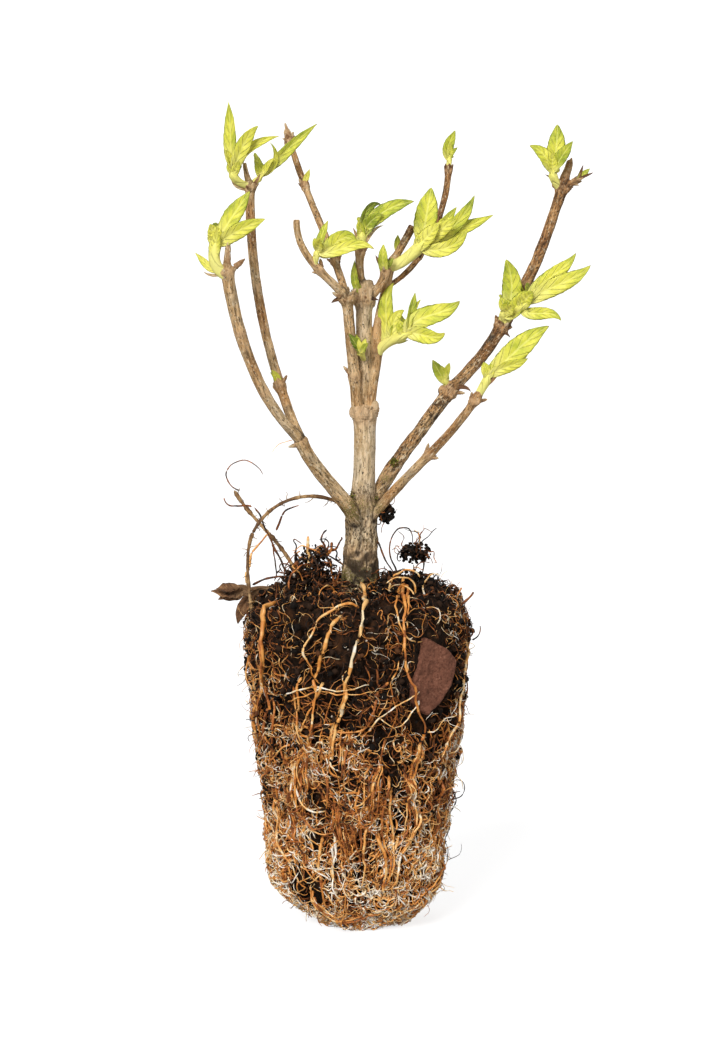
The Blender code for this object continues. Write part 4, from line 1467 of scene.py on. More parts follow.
TUFTS = (
    Tuft("leaves_left_top", "left_inner_bough", 0.985, Course(-146, (78, 54, 1), 12.5), 2.2, 4.2, (
        Blade(-117, (0, 4, 11), 26.5, 0.95, 5.4, -18, 0.28, 38, 0.6, 30),
        Blade(-25, (27, 28, 57), 22.0, 0.85, 6.0, 14, 0.12, 30, 0.75, -20),
        Blade(3, (14, 54, 80), 25.0, 0.8, 4.0, -10, 0.2, 34, 0.6, 25),
        Blade(-140, (8, 20, 40), 9.0, 0.9, 3.4, 30, 0.15, 40, 0.7),
        Blade(-60, (25, 40, 62), 8.0, 0.7, 3.6, 0, 0.05, 44, 0.7),
    )),
    Tuft("leaves_left_top_arm", "left_inner_bough", 0.985, Course(47, (59, 63, 66), 8.0), 2.4, 2.6, (
        Blade(13, (40, 48, 52), 31.0, 0.9, 4.8, 20, 0.42, 40, 0.6, -30),
        Blade(0, (67, 14, -51), 17.0, 0.9, 2.2, 0, 0.35, 40, 0.5),
        Blade(-15, (50, 30, 60), 11.0, 0.7, 3.0, -30, 0.1, 40, 0.6),
    )),
    Tuft("leaves_left", "left_outer_bough", 0.95, Course(-166, (72, 4, -32), 19.0), 4.4, 4.6, (
        Blade(10, (30, 34, 35), 23.5, 0.8, 7.2, -12, 0.35, 26, 0.8, 24),
        Blade(-16, (50, 63, 69), 23.0, 0.72, 6.4, 14, 0.22, 30, 0.75, -16),
        Blade(164, (94, 48, 52), 13.5, 0.15, 3.2, 0, 0.1, 34, 0.55),
        Blade(-120, (10, 22, 40), 10.0, 0.7, 5.6, 10, 0.1, 34, 0.85),
        Blade(-70, (12, 20, 30), 12.0, 0.45, 5.0, -20, 0.05, 40, 0.8),
    )),
    Tuft("leaves_centre_left", "left_cut_stub", 0.5, Course(-50, (30, 20, 10), 7.0), 2.6, 2.8, (
        Blade(25, (16, 21, 26), 13.0, 0.8, 3.6, -20, 0.5, 36, 0.7),
        Blade(-4, (110, 50, 175), 18.0, 0.8, 7.6, 8, 0.3, 24, 0.9),
        Blade(-13, (100, 71, 130), 24.0, 0.7, 5.2, -6, 0.15, 26, 0.7),
        Blade(-75, (40, 50, 90), 9.0, 0.8, 4.0, 0, 0.2, 36, 0.8),
    )),
    Tuft("leaves_centre", "centre_top_twig", 0.93, Course(-51, (1, 17, 34), 8.5), 4.0, 4.0, (
        Blade(-9, (32, 58, 84), 25.0, 0.8, 6.4, -8, 0.5, 30, 0.75, 18),
        Blade(29, (3, 26, 118), 17.5, 0.7, 4.4, 30, 0.85, 44, 0.7),
        Blade(-30, (20, 45, 80), 14.0, 0.6, 5.4, 6, 0.6, 36, 0.8),
        Blade(-100, (20, 26, 30), 8.0, 0.5, 3.4, 0, 0.35, 40, 0.7),
    )),
    Tuft("leaves_right", "tan_stem", 0.94, Course(-10, (81, 48, 55), 21.0), 4.4, 5.2, (
        Blade(33, (9, 11, 12), 23.0, 0.78, 9.4, -6, 0.34, 24, 0.85, 14),
        Blade(-20, (48, 55, 57), 17.0, 0.8, 6.8, 10, 0.16, 26, 0.85, -14),
        Blade(12, (78, 46, 24), 28.5, 0.85, 6.0, 14, 0.42, 30, 0.75, 20),
        Blade(19, (76, 71, 65), 30.5, 0.88, 5.6, -12, 0.36, 30, 0.7, -24),
        Blade(-22, (110, 69, 27), 24.0, 0.7, 6.0, 6, 0.14, 30, 0.8),
        Blade(16, (46, 43, 38), 17.0, 0.95, 4.6, 20, 0.3, 34, 0.8),
        Blade(-30, (40, 44, 40), 16.0, 0.6, 6.6, -10, 0.1, 30, 0.85),
    )),
    Tuft("leaves_mid_right", "centre_right_stem", 0.93, Course(-37, (32, 66, 66), 20.0), 3.8, 4.4, (
        Blade(-6, (15, 72, 40), 26.5, 0.85, 8.2, -4, 0.26, 24, 0.8, 12),
        Blade(-23, (62, 101, 40), 17.5, 0.85, 6.4, 8, 0.2, 34, 0.85),
        Blade(34, (6, 14, 13), 17.0, 0.9, 4.2, 30, 0.55, 40, 0.7),
        Blade(36, (11, 23, 55), 15.5, 0.9, 3.4, -30, 0.3, 34, 0.7),
        Blade(20, (0, 17, 75), 14.0, 0.5, 5.0, 0, 0.05, 30, 0.85),
        Blade(40, (-10, 37, 80), 11.0, 0.5, 3.6, 20, 0.6, 34, 0.7),
        Blade(27, (34, -3, 50), 27.0, 0.2, 6.4, -8, 0.38, 26, 0.8, 20),
        Blade(-14, (83, 85, 66), 8.5, 0.4, 1.6, 0, 0.3, 30, 0.4),
    )),
    Tuft("leaves_centre_low", "centre_leader", 0.42, Course(-96, (56, 67, 74), 12.0), 2.0, 2.4, (
        Blade(-171, (28, 31, 34), 13.5, 0.5, 4.8, 0, 0.35, 40, 0.8),
        Blade(-150, (34, 35, 33), 11.0, 0.6, 3.8, 24, 0.7, 44, 0.8),
        Blade(-60, (40, 50, 60), 7.0, 0.9, 2.6, -20, 0.5, 40, 0.7),
    )),
    Tuft("leaves_right_top", "right_bough_upper", 0.96, Course(-138, (51, 35, 16), 10.5), 3.0, 4.0, (
        Blade(-174, (11, 39, 74), 15.5, 0.8, 5.8, 8, 0.34, 30, 0.75, 18),
        Blade(45, (18, 9, -2), 19.5, 0.85, 7.6, 0, 0.36, 24, 0.9),
        Blade(-28, (26, 35, 38), 16.0, 0.8, 5.4, -16, 0.5, 36, 0.75, 20),
        Blade(-100, (14, 18, 30), 9.0, 0.8, 4.4, 10, 0.15, 40, 0.8),
    )),
    Tuft("leaves_right_inner", "right_bough_middle", 0.96, Course(-76, (14, 37, 55), 9.5), 2.6, 3.6, (
        Blade(40, (47, -2, -28), 22.5, 0.85, 8.0, 0, 0.4, 26, 0.85),
        Blade(-27, (95, 32, 62), 15.5, 0.6, 6.4, -8, 0.32, 34, 0.9),
        Blade(-60, (70, 60, 80), 9.0, 0.7, 5.0, 10, 0.1, 34, 0.9),
    )),
    Tuft("leaves_right_outer", "right_bough_middle", 0.96, Course(-36, (38, 53, 65), 18.0), 2.8, 3.6, (
        Blade(18, (21, 56, 31), 29.0, 0.9, 6.4, -6, 0.3, 28, 0.75, 16),
        Blade(-2, (43, 66, 43), 30.0, 0.88, 7.4, 6, 0.24, 24, 0.75, -12),
        Blade(-15, (135, 86, 150), 18.5, 0.65, 5.2, 0, 0.34, 28, 0.7),
        Blade(-50, (31, 47, 59), 10.0, 0.7, 5.8, 0, 0.3, 36, 0.9),
    )),
    Tuft("leaves_lower_right", "right_lower_bough", 0.96, Course(-21, (34, 30, 26), 11.0), 3.0, 4.0, (
        Blade(30, (64, 12, 25), 10.5, 0.6, 3.6, 0, 0.35, 34, 0.75),
        Blade(3, (49, 47, 63), 31.0, 0.85, 9.2, -2, 0.3, 22, 0.75, 10),
        Blade(-20, (44, 71, 55), 18.0, 0.85, 5.0, 16, 0.12, 30, 0.75),
    )),
    Tuft("leaf_right_bough", "right_bough", 0.95, Course(-114, (16, 29, 50), 8.5), 2.4, 2.6, (
        Blade(-169, (33, 30, 27), 11.5, 0.5, 4.6, 0, 0.5, 34, 0.8),
        Blade(-128, (13, 27, 38), 6.5, 0.6, 3.0, 20, 0.3, 40, 0.8),
    )),
    Tuft("leaves_back", "back_twig", 0.96, Course(52, (4, 11, 21), 6.5), 2.2, 2.2, (
        Blade(-22, (-36, 20, 20), 13.5, 0.6, 4.4, 6, 0.42, 34, 0.8),
        Blade(-32, (-21, 43, 49), 7.5, 0.6, 2.4, 0, 0.4, 36, 0.7),
    )),
)

SPROUTS = (
    ("centre_leader", Blade(-123, (110, 20, -8), 17.0, 0.93, 3.2, 0, 0.55, 40, 0.7)),
    ("right_twig", Blade(-119, (33, 2, -7), 12.0, 0.9, 4.0, 0, 0.4, 36, 0.85)),
    ("right_twig", Blade(31, (25, 38, 43), 6.5, 0.95, 2.4, 0, 0.6, 36, 0.7)),
    ("left_inner_bough", Blade(-139, (24, 33, 48), 8.0, 0.22, 3.0, 0, 0.35, 36, 0.8)),
    ("left_inner_bough", Blade(150, (24, 43, 60), 7.0, 0.22, 2.6, 40, 0.4, 36, 0.8)),
    ("tall_twig", Blade(-46, (-5, 27, 23), 7.5, 0.68, 2.4, 0, 0.2, 36, 0.7)),
    ("tall_twig", Blade(20, (10, 30, 40), 5.0, 0.22, 1.8, 0, 0.4, 36, 0.7)),
    ("right_top_spur", Blade(0, (48, 47, 48), 7.5, 0.9, 2.6, 0, 0.5, 36, 0.8)),
    ("right_cut_stub", Blade(86, (33, 29, 30), 8.5, 0.3, 2.8, 0, 0.5, 36, 0.7)),
)

SCALES = (
    ("left_outer_bough", Blade(180, (123, 92, 48), 10.0, 0.97, 1.6, 0, 0.8)),
    ("left_inner_bough", Blade(-158, (68, 65, 3), 10.0, 0.97, 3.0, 0, 0.62)),
    ("left_inner_bough", Blade(-26, (39, 37, 20), 8.0, 0.97, 1.7, 0, 0.2)),
    ("centre_top_twig", Blade(-180, (16, 15, 33), 10.0, 0.9, 1.7, 0, 0.45)),
    ("centre_top_twig", Blade(-6, (38, 34, 87), 14.5, 0.9, 2.0, 0, 0.85)),
    ("right_twig", Blade(-180, (40, 30, 26), 7.5, 0.95, 2.0, 0, 0.2)),
    ("centre_leader", Blade(-43, (120, 100, 100), 8.5, 0.9, 1.8, 0, 0.1)),
    ("centre_left_stem", Blade(-162, (87, 104, 134), 7.0, 0.97, 2.2, 0, 0.1)),
    ("back_twig", Blade(-49, (46, 46, 46), 3.5, 0.33, 1.6, 0, 0.12)),
    ("back_twig", Blade(-15, (150, 100, 32), 6.5, 0.45, 1.6, 0, 0.12)),
    ("right_top_spur", Blade(-16, (47, 24, 18), 8.0, 0.8, 1.6, 0, 0.3)),
    ("right_top_spur", Blade(-8, (50, 67, 60), 8.0, 0.9, 1.4, 0, 0.2)),
    ("right_bough_upper", Blade(-163, (5, 57, 57), 10.0, 0.96, 1.6, 0, 0.12)),
    ("right_bough_middle", Blade(-56, (18, 16, 31), 11.0, 0.97, 2.0, 0, 0.08)),
    ("right_bough_middle", Blade(-24, (43, 100, 150), 7.0, 0.85, 1.6, 0, 0.15)),
    ("right_lower_bough", Blade(0, (36, 32, 14), 18.0, 0.97, 1.8, 0, 0.08)),
    ("right_lower_bough", Blade(-19, (13, 51, 22), 14.5, 0.96, 2.8, 0, 0.55)),
    ("right_lower_bough", Blade(-19, (57, 10, -1), 12.0, 0.95, 1.6, 0, 0.3)),
    ("right_bough", Blade(-20, (60, 85, 150), 10.0, 0.97, 2.4, 0, 0.3)),
)

CLUSTERS = (
    ("centre_left_stem", 0.93, 7, 2.8, 0.9), ("centre_left_stem", 0.99, 8, 3.0, 1.0),
    ("centre_leader", 0.83, 8, 2.6, 0.9), ("centre_leader", 0.9, 8, 2.8, 1.1),
    ("tall_twig", 0.95, 7, 2.0, 0.5), ("right_bough_upper", 0.97, 8, 3.0, 1.1),
    ("right_bough_middle", 0.96, 7, 3.0, 1.0), ("left_inner_bough", 0.97, 7, 3.0, 1.2),
    ("left_outer_bough", 0.96, 7, 3.0, 1.0), ("back_twig", 0.95, 5, 3.6, 0.3),
    ("centre_top_twig", 0.85, 5, 3.0, 0.8), ("right_top_spur", 0.7, 5, 2.8, 0.6),
)

TIPS = (
    ("tall_twig", 0.95, 5.0, 0.84, 4), ("tall_twig", 1.0, 3.8, 0.42, 2),
    ("left_outer_tip", 0.0, 9.5, 0.36, 4), ("left_inner_tip", 0.1, 7.5, 0.36, 4),
    ("right_top_tip", 0.05, 9.5, 0.46, 5), ("right_top_spur", 0.85, 3.4, 0.6, 2),
    ("back_twig", 0.97, 4.6, 0.5, 2),
)

SIDE_BUDS = (
    ("left_outer_bough", 0.965, Course(-10, (62, 50), 4.0), 4.2),
    ("centre_left_stem", 0.34, Course(175, (60, 40), 3.0), 2.8),
    ("left_bough", 0.95, Course(-165, (120, 100), 2.0), 3.2),
    ("centre_leader", 0.88, Course(-30, (70, 50), 3.0), 3.2),
    ("centre_stem", 0.95, Course(-25, (60, 40), 2.0), 3.0),
    ("centre_left_stem", 0.96, Course(-150, (80, 60), 3.4), 3.4),
    ("right_bough", 0.97, Course(-30, (110, 90), 3.0), 3.4),
    ("left_inner_bough", 0.22, Course(-20, (50, 30), 2.0), 2.8),
)

FALLEN_STALK = Course(-167, (46, 92, 98), 14.0)
FALLEN_LEAVES = (
    Blade(-172, (96, 118), 14.0, 0.75, 5.6, 20, 0.1, 40, 0.8, 60),
    Blade(-160, (122, 172), 17.5, 0.5, 5.6, -24, 0.14, 34, 0.8, 50),
    Blade(178, (88, 96, 70), 13.0, 1.0, 7.0, 30, 0.2, 46, 0.95, 90),
    Blade(-160, (105, 80, 60), 11.5, 1.0, 6.4, -50, 0.1, 50, 0.95, -90),
    Blade(150, (90, 110, 90), 9.0, 0.9, 4.6, 60, 0.25, 44, 0.8, 60),
)


@dataclass
class Foliage:
    """The young leaves, the small sprouts, the scales round the buds and the wilted leaves."""

    skeleton: Skeleton
    seed: int
    leaves: BladeWork = field(init=False)
    husks: BladeWork = field(init=False)

    def __post_init__(self) -> None:
        """Starts its workshops."""
        self.leaves = BladeWork(self.seed)
        self.husks = BladeWork(self.seed + 1, 10, 10, 0.35, 20.0, 0.5, 0, 0.0)

    def build_tuft(self, tuft: Tuft) -> bpy.types.Object:
        """Makes a tuft's shoot and leaves.

        Args:
            tuft: The tuft.

        Returns:
            The piece that stands for its solid.
        """
        self.skeleton.grow(tuft.node, tuft.parent, tuft.at, tuft.course)
        shoot = self.skeleton.routes[tuft.node]
        for blade in tuft.blades:
            self.leaves.add(point_on(shoot, blade.at), blade)
        self._add_backs(shoot, tuft.blades)
        self._add_heart(shoot, tuft.tip)
        self.leaves.add_shoot(shoot, tuft.base, tuft.tip, 0.12)
        return finish_piece(self.leaves.mesh(tuft.node + "_leaves"), [Finish.LEAF], "young_leaf", tuft.node)

    def _add_backs(self, shoot: Sequence[Vector], blades: Sequence[Blade]) -> None:
        """Adds the leaves on the far side of a shoot, somewhat smaller than those in front.

        Args:
            shoot: Its route.
            blades: The leaves in front.
        """
        chance = self.leaves.chance
        for heading, blade in zip((95, 80, 108), blades[:len(blades) // 2]):
            lean = chance.uniform(32, 48)
            leans = (lean, lean + 14, lean + 28)
            heading += chance.uniform(-8, 8)
            tone = chance.uniform(0.2, 0.5)
            roll = chance.uniform(30, 60)
            back = Blade(heading, leans, blade.length * 0.48, 0.8, blade.width * 0.85, roll, tone, 30, 0.8)
            self.leaves.add(point_on(shoot, back.at), back)

    def _add_heart(self, shoot: Sequence[Vector], width: float) -> None:
        """Adds the smallest leaves, folded round the tip of a shoot.

        Args:
            shoot: Its route.
            width: Their width.
        """
        chance = self.leaves.chance
        turn = chance.uniform(0, 360)
        for count in range(2):
            leans = (chance.uniform(5, 20), chance.uniform(12, 35))
            length, tone = chance.uniform(5, 7), chance.uniform(0.05, 0.35)
            leaf = Blade(turn + 170 * count, leans, length, 0.8, width, 0, tone, 46, 0.95)
            self.leaves.add(point_on(shoot, leaf.at), leaf)

    def _add_on_limbs(self, work: BladeWork, rows: Sequence[tuple[str, Blade]]) -> None:
        """Adds blades that spring straight from limbs, by the names of these."""
        for parent, blade in rows:
            work.add(point_on(self.skeleton.routes[parent], blade.at), blade)

    def build_sprouts(self) -> bpy.types.Object:
        """Makes the small green sprouts of the buds that have just broken."""
        self._add_on_limbs(self.leaves, SPROUTS)
        return finish_piece(self.leaves.mesh("small_sprouts"), [Finish.LEAF], "young_leaf")

    def build_scales(self) -> bpy.types.Object:
        """Makes the brown scales at the nodes, one by one, in pairs at every knuckle and round buds.

        Returns:
            The piece.
        """
        self._add_on_limbs(self.husks, SCALES)
        for limb in LIMBS:
            for at, _, knobs in limb.knuckles:
                if knobs:
                    self._add_pair(limb, min(at, 0.98))
                    self._add_scales(limb, min(at, 0.96), knobs // 2, 2.3, 0.7)
        for node, at, count, length, splay in CLUSTERS:
            self._add_scales(limb_named(node), at, count, length, splay)
        for node, at, course, length in SIDE_BUDS:
            stalk = course.route(point_on(self.skeleton.routes[node], at))
            self.husks.add_shoot(stalk, 2.0, 2.0, 0.5)
            self._add_bud(stalk[-1], way_on(stalk, 1.0), length, 0.62, 3)
        for node, at, length, plump, pairs in TIPS:
            route = self.skeleton.routes[node]
            self._add_bud(point_on(route, at), way_on(route, at), length, plump, pairs)
        return finish_piece(self.husks.mesh("bud_scales"), [Finish.HUSK], "dead_leaf")

    def _add_pair(self, limb: Limb, at: float) -> None:
        """Adds the two small buds that sit across from each other at a node.

        Args:
            limb: The limb.
            at: The share of its length where they sit.
        """
        chance = self.husks.chance
        route = self.skeleton.routes[limb.node]
        frame = frame_on(route, at, limb.course.across()).to_3x3()
        turn = chance.uniform(0, math.tau)
        for side in (turn, turn + math.pi):
            out = frame @ Vector((math.cos(side), math.sin(side), 0.0))
            way = way_on(route, at) + out * chance.uniform(0.5, 1.1)
            foot = point_on(route, at) + out * float(limb.radius(at)) * 0.75
            self._add_bud(foot, way.normalized(), chance.uniform(1.8, 3.2), chance.uniform(0.5, 0.65), 2)

    def _add_bud(self, foot: Vector, way: Vector, length: float, plump: float, pairs: int) -> None:
        """Adds a bud of crossed pairs of scales that close over each other.

        Args:
            foot: Where it springs.
            way: The way it points.
            length: Its length.
            plump: Its width, as a share of the length.
            pairs: How many pairs of scales it has.
        """
        chance = self.husks.chance
        across = way.orthogonal().normalized()
        width = plump * length
        core = [foot + way * length * 0.85 * step / ROUTE_STEPS for step in range(ROUTE_STEPS + 1)]
        self.husks.add_shoot(core, width, width * 0.6, 0.6)
        for pair in range(pairs):
            for half in range(2):
                side = math.pi * (half + 0.5 * pair) + chance.uniform(-0.35, 0.35)
                out = Matrix.Rotation(side, 3, way) @ across
                point = (way - out * plump * 0.55).normalized()
                long = length * (1 - 0.22 * pair / pairs)
                spot = foot + out * width * 0.46 + way * 0.55 * length * pair / pairs
                tone = chance.uniform(0.4, 1.0)
                self.husks.add(spot, Blade.aimed(point, long, 0.0, 0.0, width, 0, tone, 40, 0.85), -out)

    def _add_scales(self, limb: Limb, at: float, count: int, length: float, splay: float) -> None:
        """Adds a ring of cupped scales that stand up against a limb.

        Args:
            limb: The limb.
            at: The share of its length where they spring.
            count: How many.
            length: Their usual length.
            splay: How far they may lean out, or in where it is less than nothing.
        """
        chance = self.husks.chance
        route = self.skeleton.routes[limb.node]
        radius = float(limb.radius(at)) * 0.9
        frame = frame_on(route, at, limb.course.across())
        turn = chance.uniform(0, math.tau)
        for number in range(count):
            side = turn + number * math.tau / count
            out = frame.to_3x3() @ Vector((math.cos(side), math.sin(side), 0.0))
            way = (way_on(route, at) + out * splay * chance.uniform(0.0, 1.0)).normalized()
            long = length * chance.uniform(0.75, 1.2)
            scale = Blade.aimed(way, long, 8.0, at, long * 0.62, 0, chance.uniform(0.3, 1.0), 42, 0.85)
            self.husks.add(point_on(route, at) + out * radius, scale, -out)

    def build_fallen(self) -> bpy.types.Object:
        """Makes the wilted leaves that hang over the rim.

        Returns:
            The piece that stands for their solid.
        """
        work = BladeWork(self.seed + 2, 20, 26, 0.4, 40.0, 0.3, 5, 0.06)
        stalk = FALLEN_STALK.route(FALLEN_FOOT)
        for blade in FALLEN_LEAVES:
            work.add(point_on(stalk, blade.at), blade)
        work.add_shoot(stalk, 1.9, 1.5, 0.12)
        return finish_piece(work.mesh("wilted_leaves"), [Finish.HUSK], "dead_leaf", "fallen_leaves")


@dataclass
class BallShape:
    """The lumpy root ball, by the turn about it and the length along its outline from the foot."""

    noise: Lattice
    height: float = 136.5
    radius: float = 45.3
    waist_radius: float = 34.0
    foot_radius: float = 17.0
    widest_at: float = 113.0
    waist_at: float = 20.0
    lean: float = -3.2
    turn_under: tuple[tuple[float, float], ...] = ((0.33, 0.7), (0.62, 0.91))
    shoulder: tuple[tuple[float, float], ...] = ((0.5, 0.985), (0.78, 0.94), (0.94, 0.83), (1.0, 0.58))
    mounds: tuple[tuple[float, float, float, float], ...] = (
        (17.0, -8.0, 5.0, 9.0), (-3.0, 0.0, 2.0, 9.0), (-24.0, -6.0, 3.5, 8.0), (30.0, 5.0, 2.5, 8.0),
    )
    lump: float = 1.6
    lump_size: float = 8.5
    step: float = 2.5

    def __post_init__(self) -> None:
        """Works out the outline and the length along it."""
        over = self.height - self.widest_at
        outline = [(0.0, 0.0), (self.foot_radius, 0.0)]
        outline += [(self.waist_radius * full, self.waist_at * rise) for rise, full in self.turn_under]
        outline += [(self.waist_radius, self.waist_at), (self.radius, self.widest_at)]
        outline += [(self.radius * full, self.widest_at + over * rise) for rise, full in self.shoulder]
        outline.append((0.0, self.height))
        self.reaches, self.heights = np.array(outline).T
        steps = np.hypot(np.diff(self.reaches), np.diff(self.heights))
        self.lengths = np.concatenate([[0.0], np.cumsum(steps)])
        self.total = float(self.lengths[-1])

    def reach(self, along: np.ndarray) -> np.ndarray:
        """The distance from the axis at a length along the outline."""
        return np.interp(along, self.lengths, self.reaches)

    def rise(self, along: np.ndarray) -> np.ndarray:
        """The height at a length along the outline."""
        return np.interp(along, self.lengths, self.heights)

    def at_height(self, height: float) -> float:
        """The length along the outline at a height of the side."""
        return float(np.interp(height, self.heights[1:-1], self.lengths[1:-1]))

    def places(self, turns: np.ndarray, along: np.ndarray, out: np.ndarray | float) -> np.ndarray:
        """Places on or near the surface.

        Args:
            turns: The angle about the axis, in radians.
            along: The length along the outline.
            out: The distance out of the surface.

        Returns:
            The places, with their three coordinates last.
        """
        above, below = along + self.step, along - self.step
        rise = self.rise(above) - self.rise(below)
        spread = self.reach(above) - self.reach(below)
        reach = self.reach(along)
        height = self.rise(along)
        middle = self.lean * np.clip(height / self.waist_at, 0.0, 1.0)
        places = np.stack([middle + reach * np.cos(turns), reach * np.sin(turns), height], axis=-1)
        outer = unit(np.stack([rise * np.cos(turns), rise * np.sin(turns), -spread], axis=-1))
        swell = self.lump * self.noise.at(places, self.lump_size) + out
        top = np.clip((height - self.widest_at) / 12, 0, 1)
        across, away = places[..., 0], places[..., 1]
        lift = sum(by * bell(np.hypot(across - x, away - y), wide) for x, y, by, wide in self.mounds)
        places = places + outer * swell[..., None]
        places[..., 2] += top * lift
        return places


@dataclass(frozen=True)
class StoneChip:
    """A flat chip of stone that lies in the front of the ball."""

    middle: Place = (27.2, -33.2, 107.0)
    turned: float = 36.0
    facing_down: float = 5.0
    thickness: float = 7.0
    edge: float = 1.1
    grid: float = 0.32
    outline: tuple[tuple[float, float], ...] = (
        (-4.3, 15.2), (3.8, 11.0), (12.0, 4.6), (9.6, -4.4), (3.9, -12.8), (-1.7, -16.8), (-7.8, -13.2),
        (-10.6, -5.2), (-7.8, 4.8),
    )

    def frame(self) -> Matrix:
        """Finds where the chip lies.

        Returns:
            Its frame, with the third axis out of its face and the second one up it.
        """
        turn = Matrix.Rotation(math.radians(self.turned), 4, "Z")
        tip = Matrix.Rotation(math.radians(90 + self.facing_down), 4, "X")
        return Matrix.Translation(self.middle) @ turn @ tip

    def build(self, noise: Lattice) -> None:
        """Cuts the chip, rounds its edges and roughens it.

        Args:
            noise: The noise of its roughness.
        """
        bm = bmesh.new()
        rim = bmesh.ops.create_circle(bm, cap_ends=True, segments=len(self.outline), radius=1.0)["verts"]
        rim.sort(key=lambda vert: -math.atan2(vert.co.y, vert.co.x))
        for vert, (across, up) in zip(rim, self._ordered()):
            vert.co = (across, up, 0.0)
        back = bmesh.ops.extrude_face_region(bm, geom=list(bm.faces))["geom"]
        deep = [vert for vert in back if isinstance(vert, bmesh.types.BMVert)]
        bmesh.ops.translate(bm, vec=(0.0, 0.0, -self.thickness), verts=deep)
        bmesh.ops.bevel(
            bm, geom=list(bm.edges), offset=self.edge, segments=2, profile=0.5, material=-1, affect="EDGES"
        )
        skin = fuse(bm, "stone_skin", self.grid)
        bm = bmesh.new()
        bm.from_mesh(skin)
        smooth(bm, bm.verts, 4)
        bm.normal_update()
        spots = np.array([vert.co for vert in bm.verts])
        rise = 0.6 * noise.at(spots, 6.0) + 0.28 * noise.at(spots, 1.8) + 0.12 * noise.at(spots, 0.6)
        for vert, by in zip(bm.verts, rise):
            vert.co += vert.normal * by
        bmesh.ops.transform(bm, matrix=self.frame(), verts=bm.verts)
        finish_piece(mesh_of(bm, "flat_stone"), [Finish.STONE], "stone", "stone_chip")

    def _ordered(self) -> list[tuple[float, float]]:
        """The outline's corners by their turn, as the circle's are."""
        return sorted(self.outline, key=lambda spot: -math.atan2(spot[1], spot[0]))

    def covers(self, places: np.ndarray, beyond: float = 0.5) -> np.ndarray:
        """Whether places lie before or in the chip.

        Args:
            places: The places.
            beyond: How far off its outline they may still be.

        Returns:
            0 or 1 for each place.
        """
        inverse = np.array(self.frame().inverted())
        local = places @ inverse[:3, :3].T + inverse[:3, 3]
        inside = np.abs(local[..., 2]) < 6.0
        corners = self._ordered()
        for (x, y), (next_x, next_y) in zip(corners, corners[1:] + corners[:1]):
            long = math.hypot(next_x - x, next_y - y)
            side = ((next_x - x) * (local[..., 1] - y) - (next_y - y) * (local[..., 0] - x)) / long
            inside &= side < beyond
        return inside.astype(float)


@dataclass(frozen=True)
class Mat:
    """One kind of roots that creep over the ball, with their shares of each colour low and high."""

    name: str
    count: int
    low: float
    high: float
    length: tuple[float, float]
    width: tuple[float, float]
    out: tuple[float, float]
    steps: int
    sides: int
    wander: float
    spread: float
    pull: float
    below: tuple[float, ...]
    above: tuple[float, ...]
    hollow: float = 0.9
    gather: tuple[float, float] = (0.0, 0.0)
    clump: float = 0.0


MATS = (
    # deep_roots take mostly dark colours: partly old dark roots, partly painted shade under the roots that
    # lie over them.
    Mat("deep_roots", 880, 3, 124, (14, 40), (0.5, 1.1), (-3.2, -1.1), 18, 4, 0.24, 0.8, 0.07,
        (0, 0, 0, 2, 6, 16, 24, 26, 17, 9), (0, 0, 0, 1, 2, 5, 12, 28, 30, 22), 0.8),
    Mat("mat_roots", 1000, 2, 90, (8, 30), (0.35, 1.0), (-1.7, 0.7), 18, 5, 0.3, 0.8, 0.07,
        (3, 9, 17, 23, 21, 12, 8, 5, 2, 0), (0, 1, 4, 10, 18, 22, 22, 15, 8, 0), 1.0),
    Mat("down_roots", 120, 26, 126, (20, 60), (0.6, 1.25), (-1.1, 0.9), 36, 7, 0.13, 0.35, 0.14,
        (0, 4, 16, 32, 28, 14, 6, 0, 0, 0), (0, 0, 6, 16, 28, 26, 16, 8, 0, 0), 0.9),
    Mat("pale_threads", 1900, 2, 84, (3, 16), (0.26, 0.66), (-0.4, 1.3), 11, 4, 0.42, 3.1, 0.02,
        (30, 26, 20, 11, 6, 3, 2, 2, 0, 0), (10, 14, 18, 18, 15, 11, 7, 5, 2, 0), 0.95, (-2.2, 0.5), 1.0),
    Mat("foot_tangle", 620, 2, 40, (6, 20), (0.4, 0.95), (-0.2, 1.6), 14, 5, 0.38, 3.1, 0.02,
        (16, 24, 24, 18, 10, 5, 3, 0, 0, 0), (10, 16, 22, 22, 16, 9, 5, 0, 0, 0), 0.9, (-2.2, 0.3), 0.8),
    Mat("upper_threads", 1500, 50, 132, (5, 18), (0.26, 0.56), (-0.9, 0.9), 12, 3, 0.42, 3.1, 0.02,
        (8, 12, 16, 16, 14, 11, 9, 8, 4, 2), (2, 5, 9, 13, 16, 18, 16, 12, 6, 3), 0.6, (0.0, 0.0), 0.5),
    Mat("rim_rootlets", 260, 124, 150, (4, 15), (0.3, 0.7), (-0.6, 1.2), 12, 5, 0.38, 3.1, 0.0,
        (0, 0, 2, 4, 6, 10, 18, 28, 20, 12), (0, 1, 2, 3, 4, 7, 14, 27, 24, 18), 0.2),
)

HOLLOWS = (
    (-18.5, 40.0, 4.5), (10.9, 68.0, 6.0), (-19.0, 58.5, 4.5), (5.5, 84.0, 5.0), (-30.0, 98.0, 5.0),
    (-6.0, 91.0, 4.0), (3.0, 111.0, 6.0), (-27.0, 118.0, 6.0), (30.0, 80.0, 5.0), (-34.0, 75.0, 3.5),
    (14.0, 49.0, 4.0), (-2.0, 30.0, 3.5), (24.0, 60.0, 4.0), (-11.0, 72.0, 3.5),
)


@dataclass(frozen=True)
class Runner:
    """A main root over the front: its start, how it runs, its length, width, colour and strand count."""

    turn: float
    down: float
    leans: tuple[float, float, float]
    length: float
    width: float = 1.5
    colour: RootColour = HONEY
    strands: int = 1


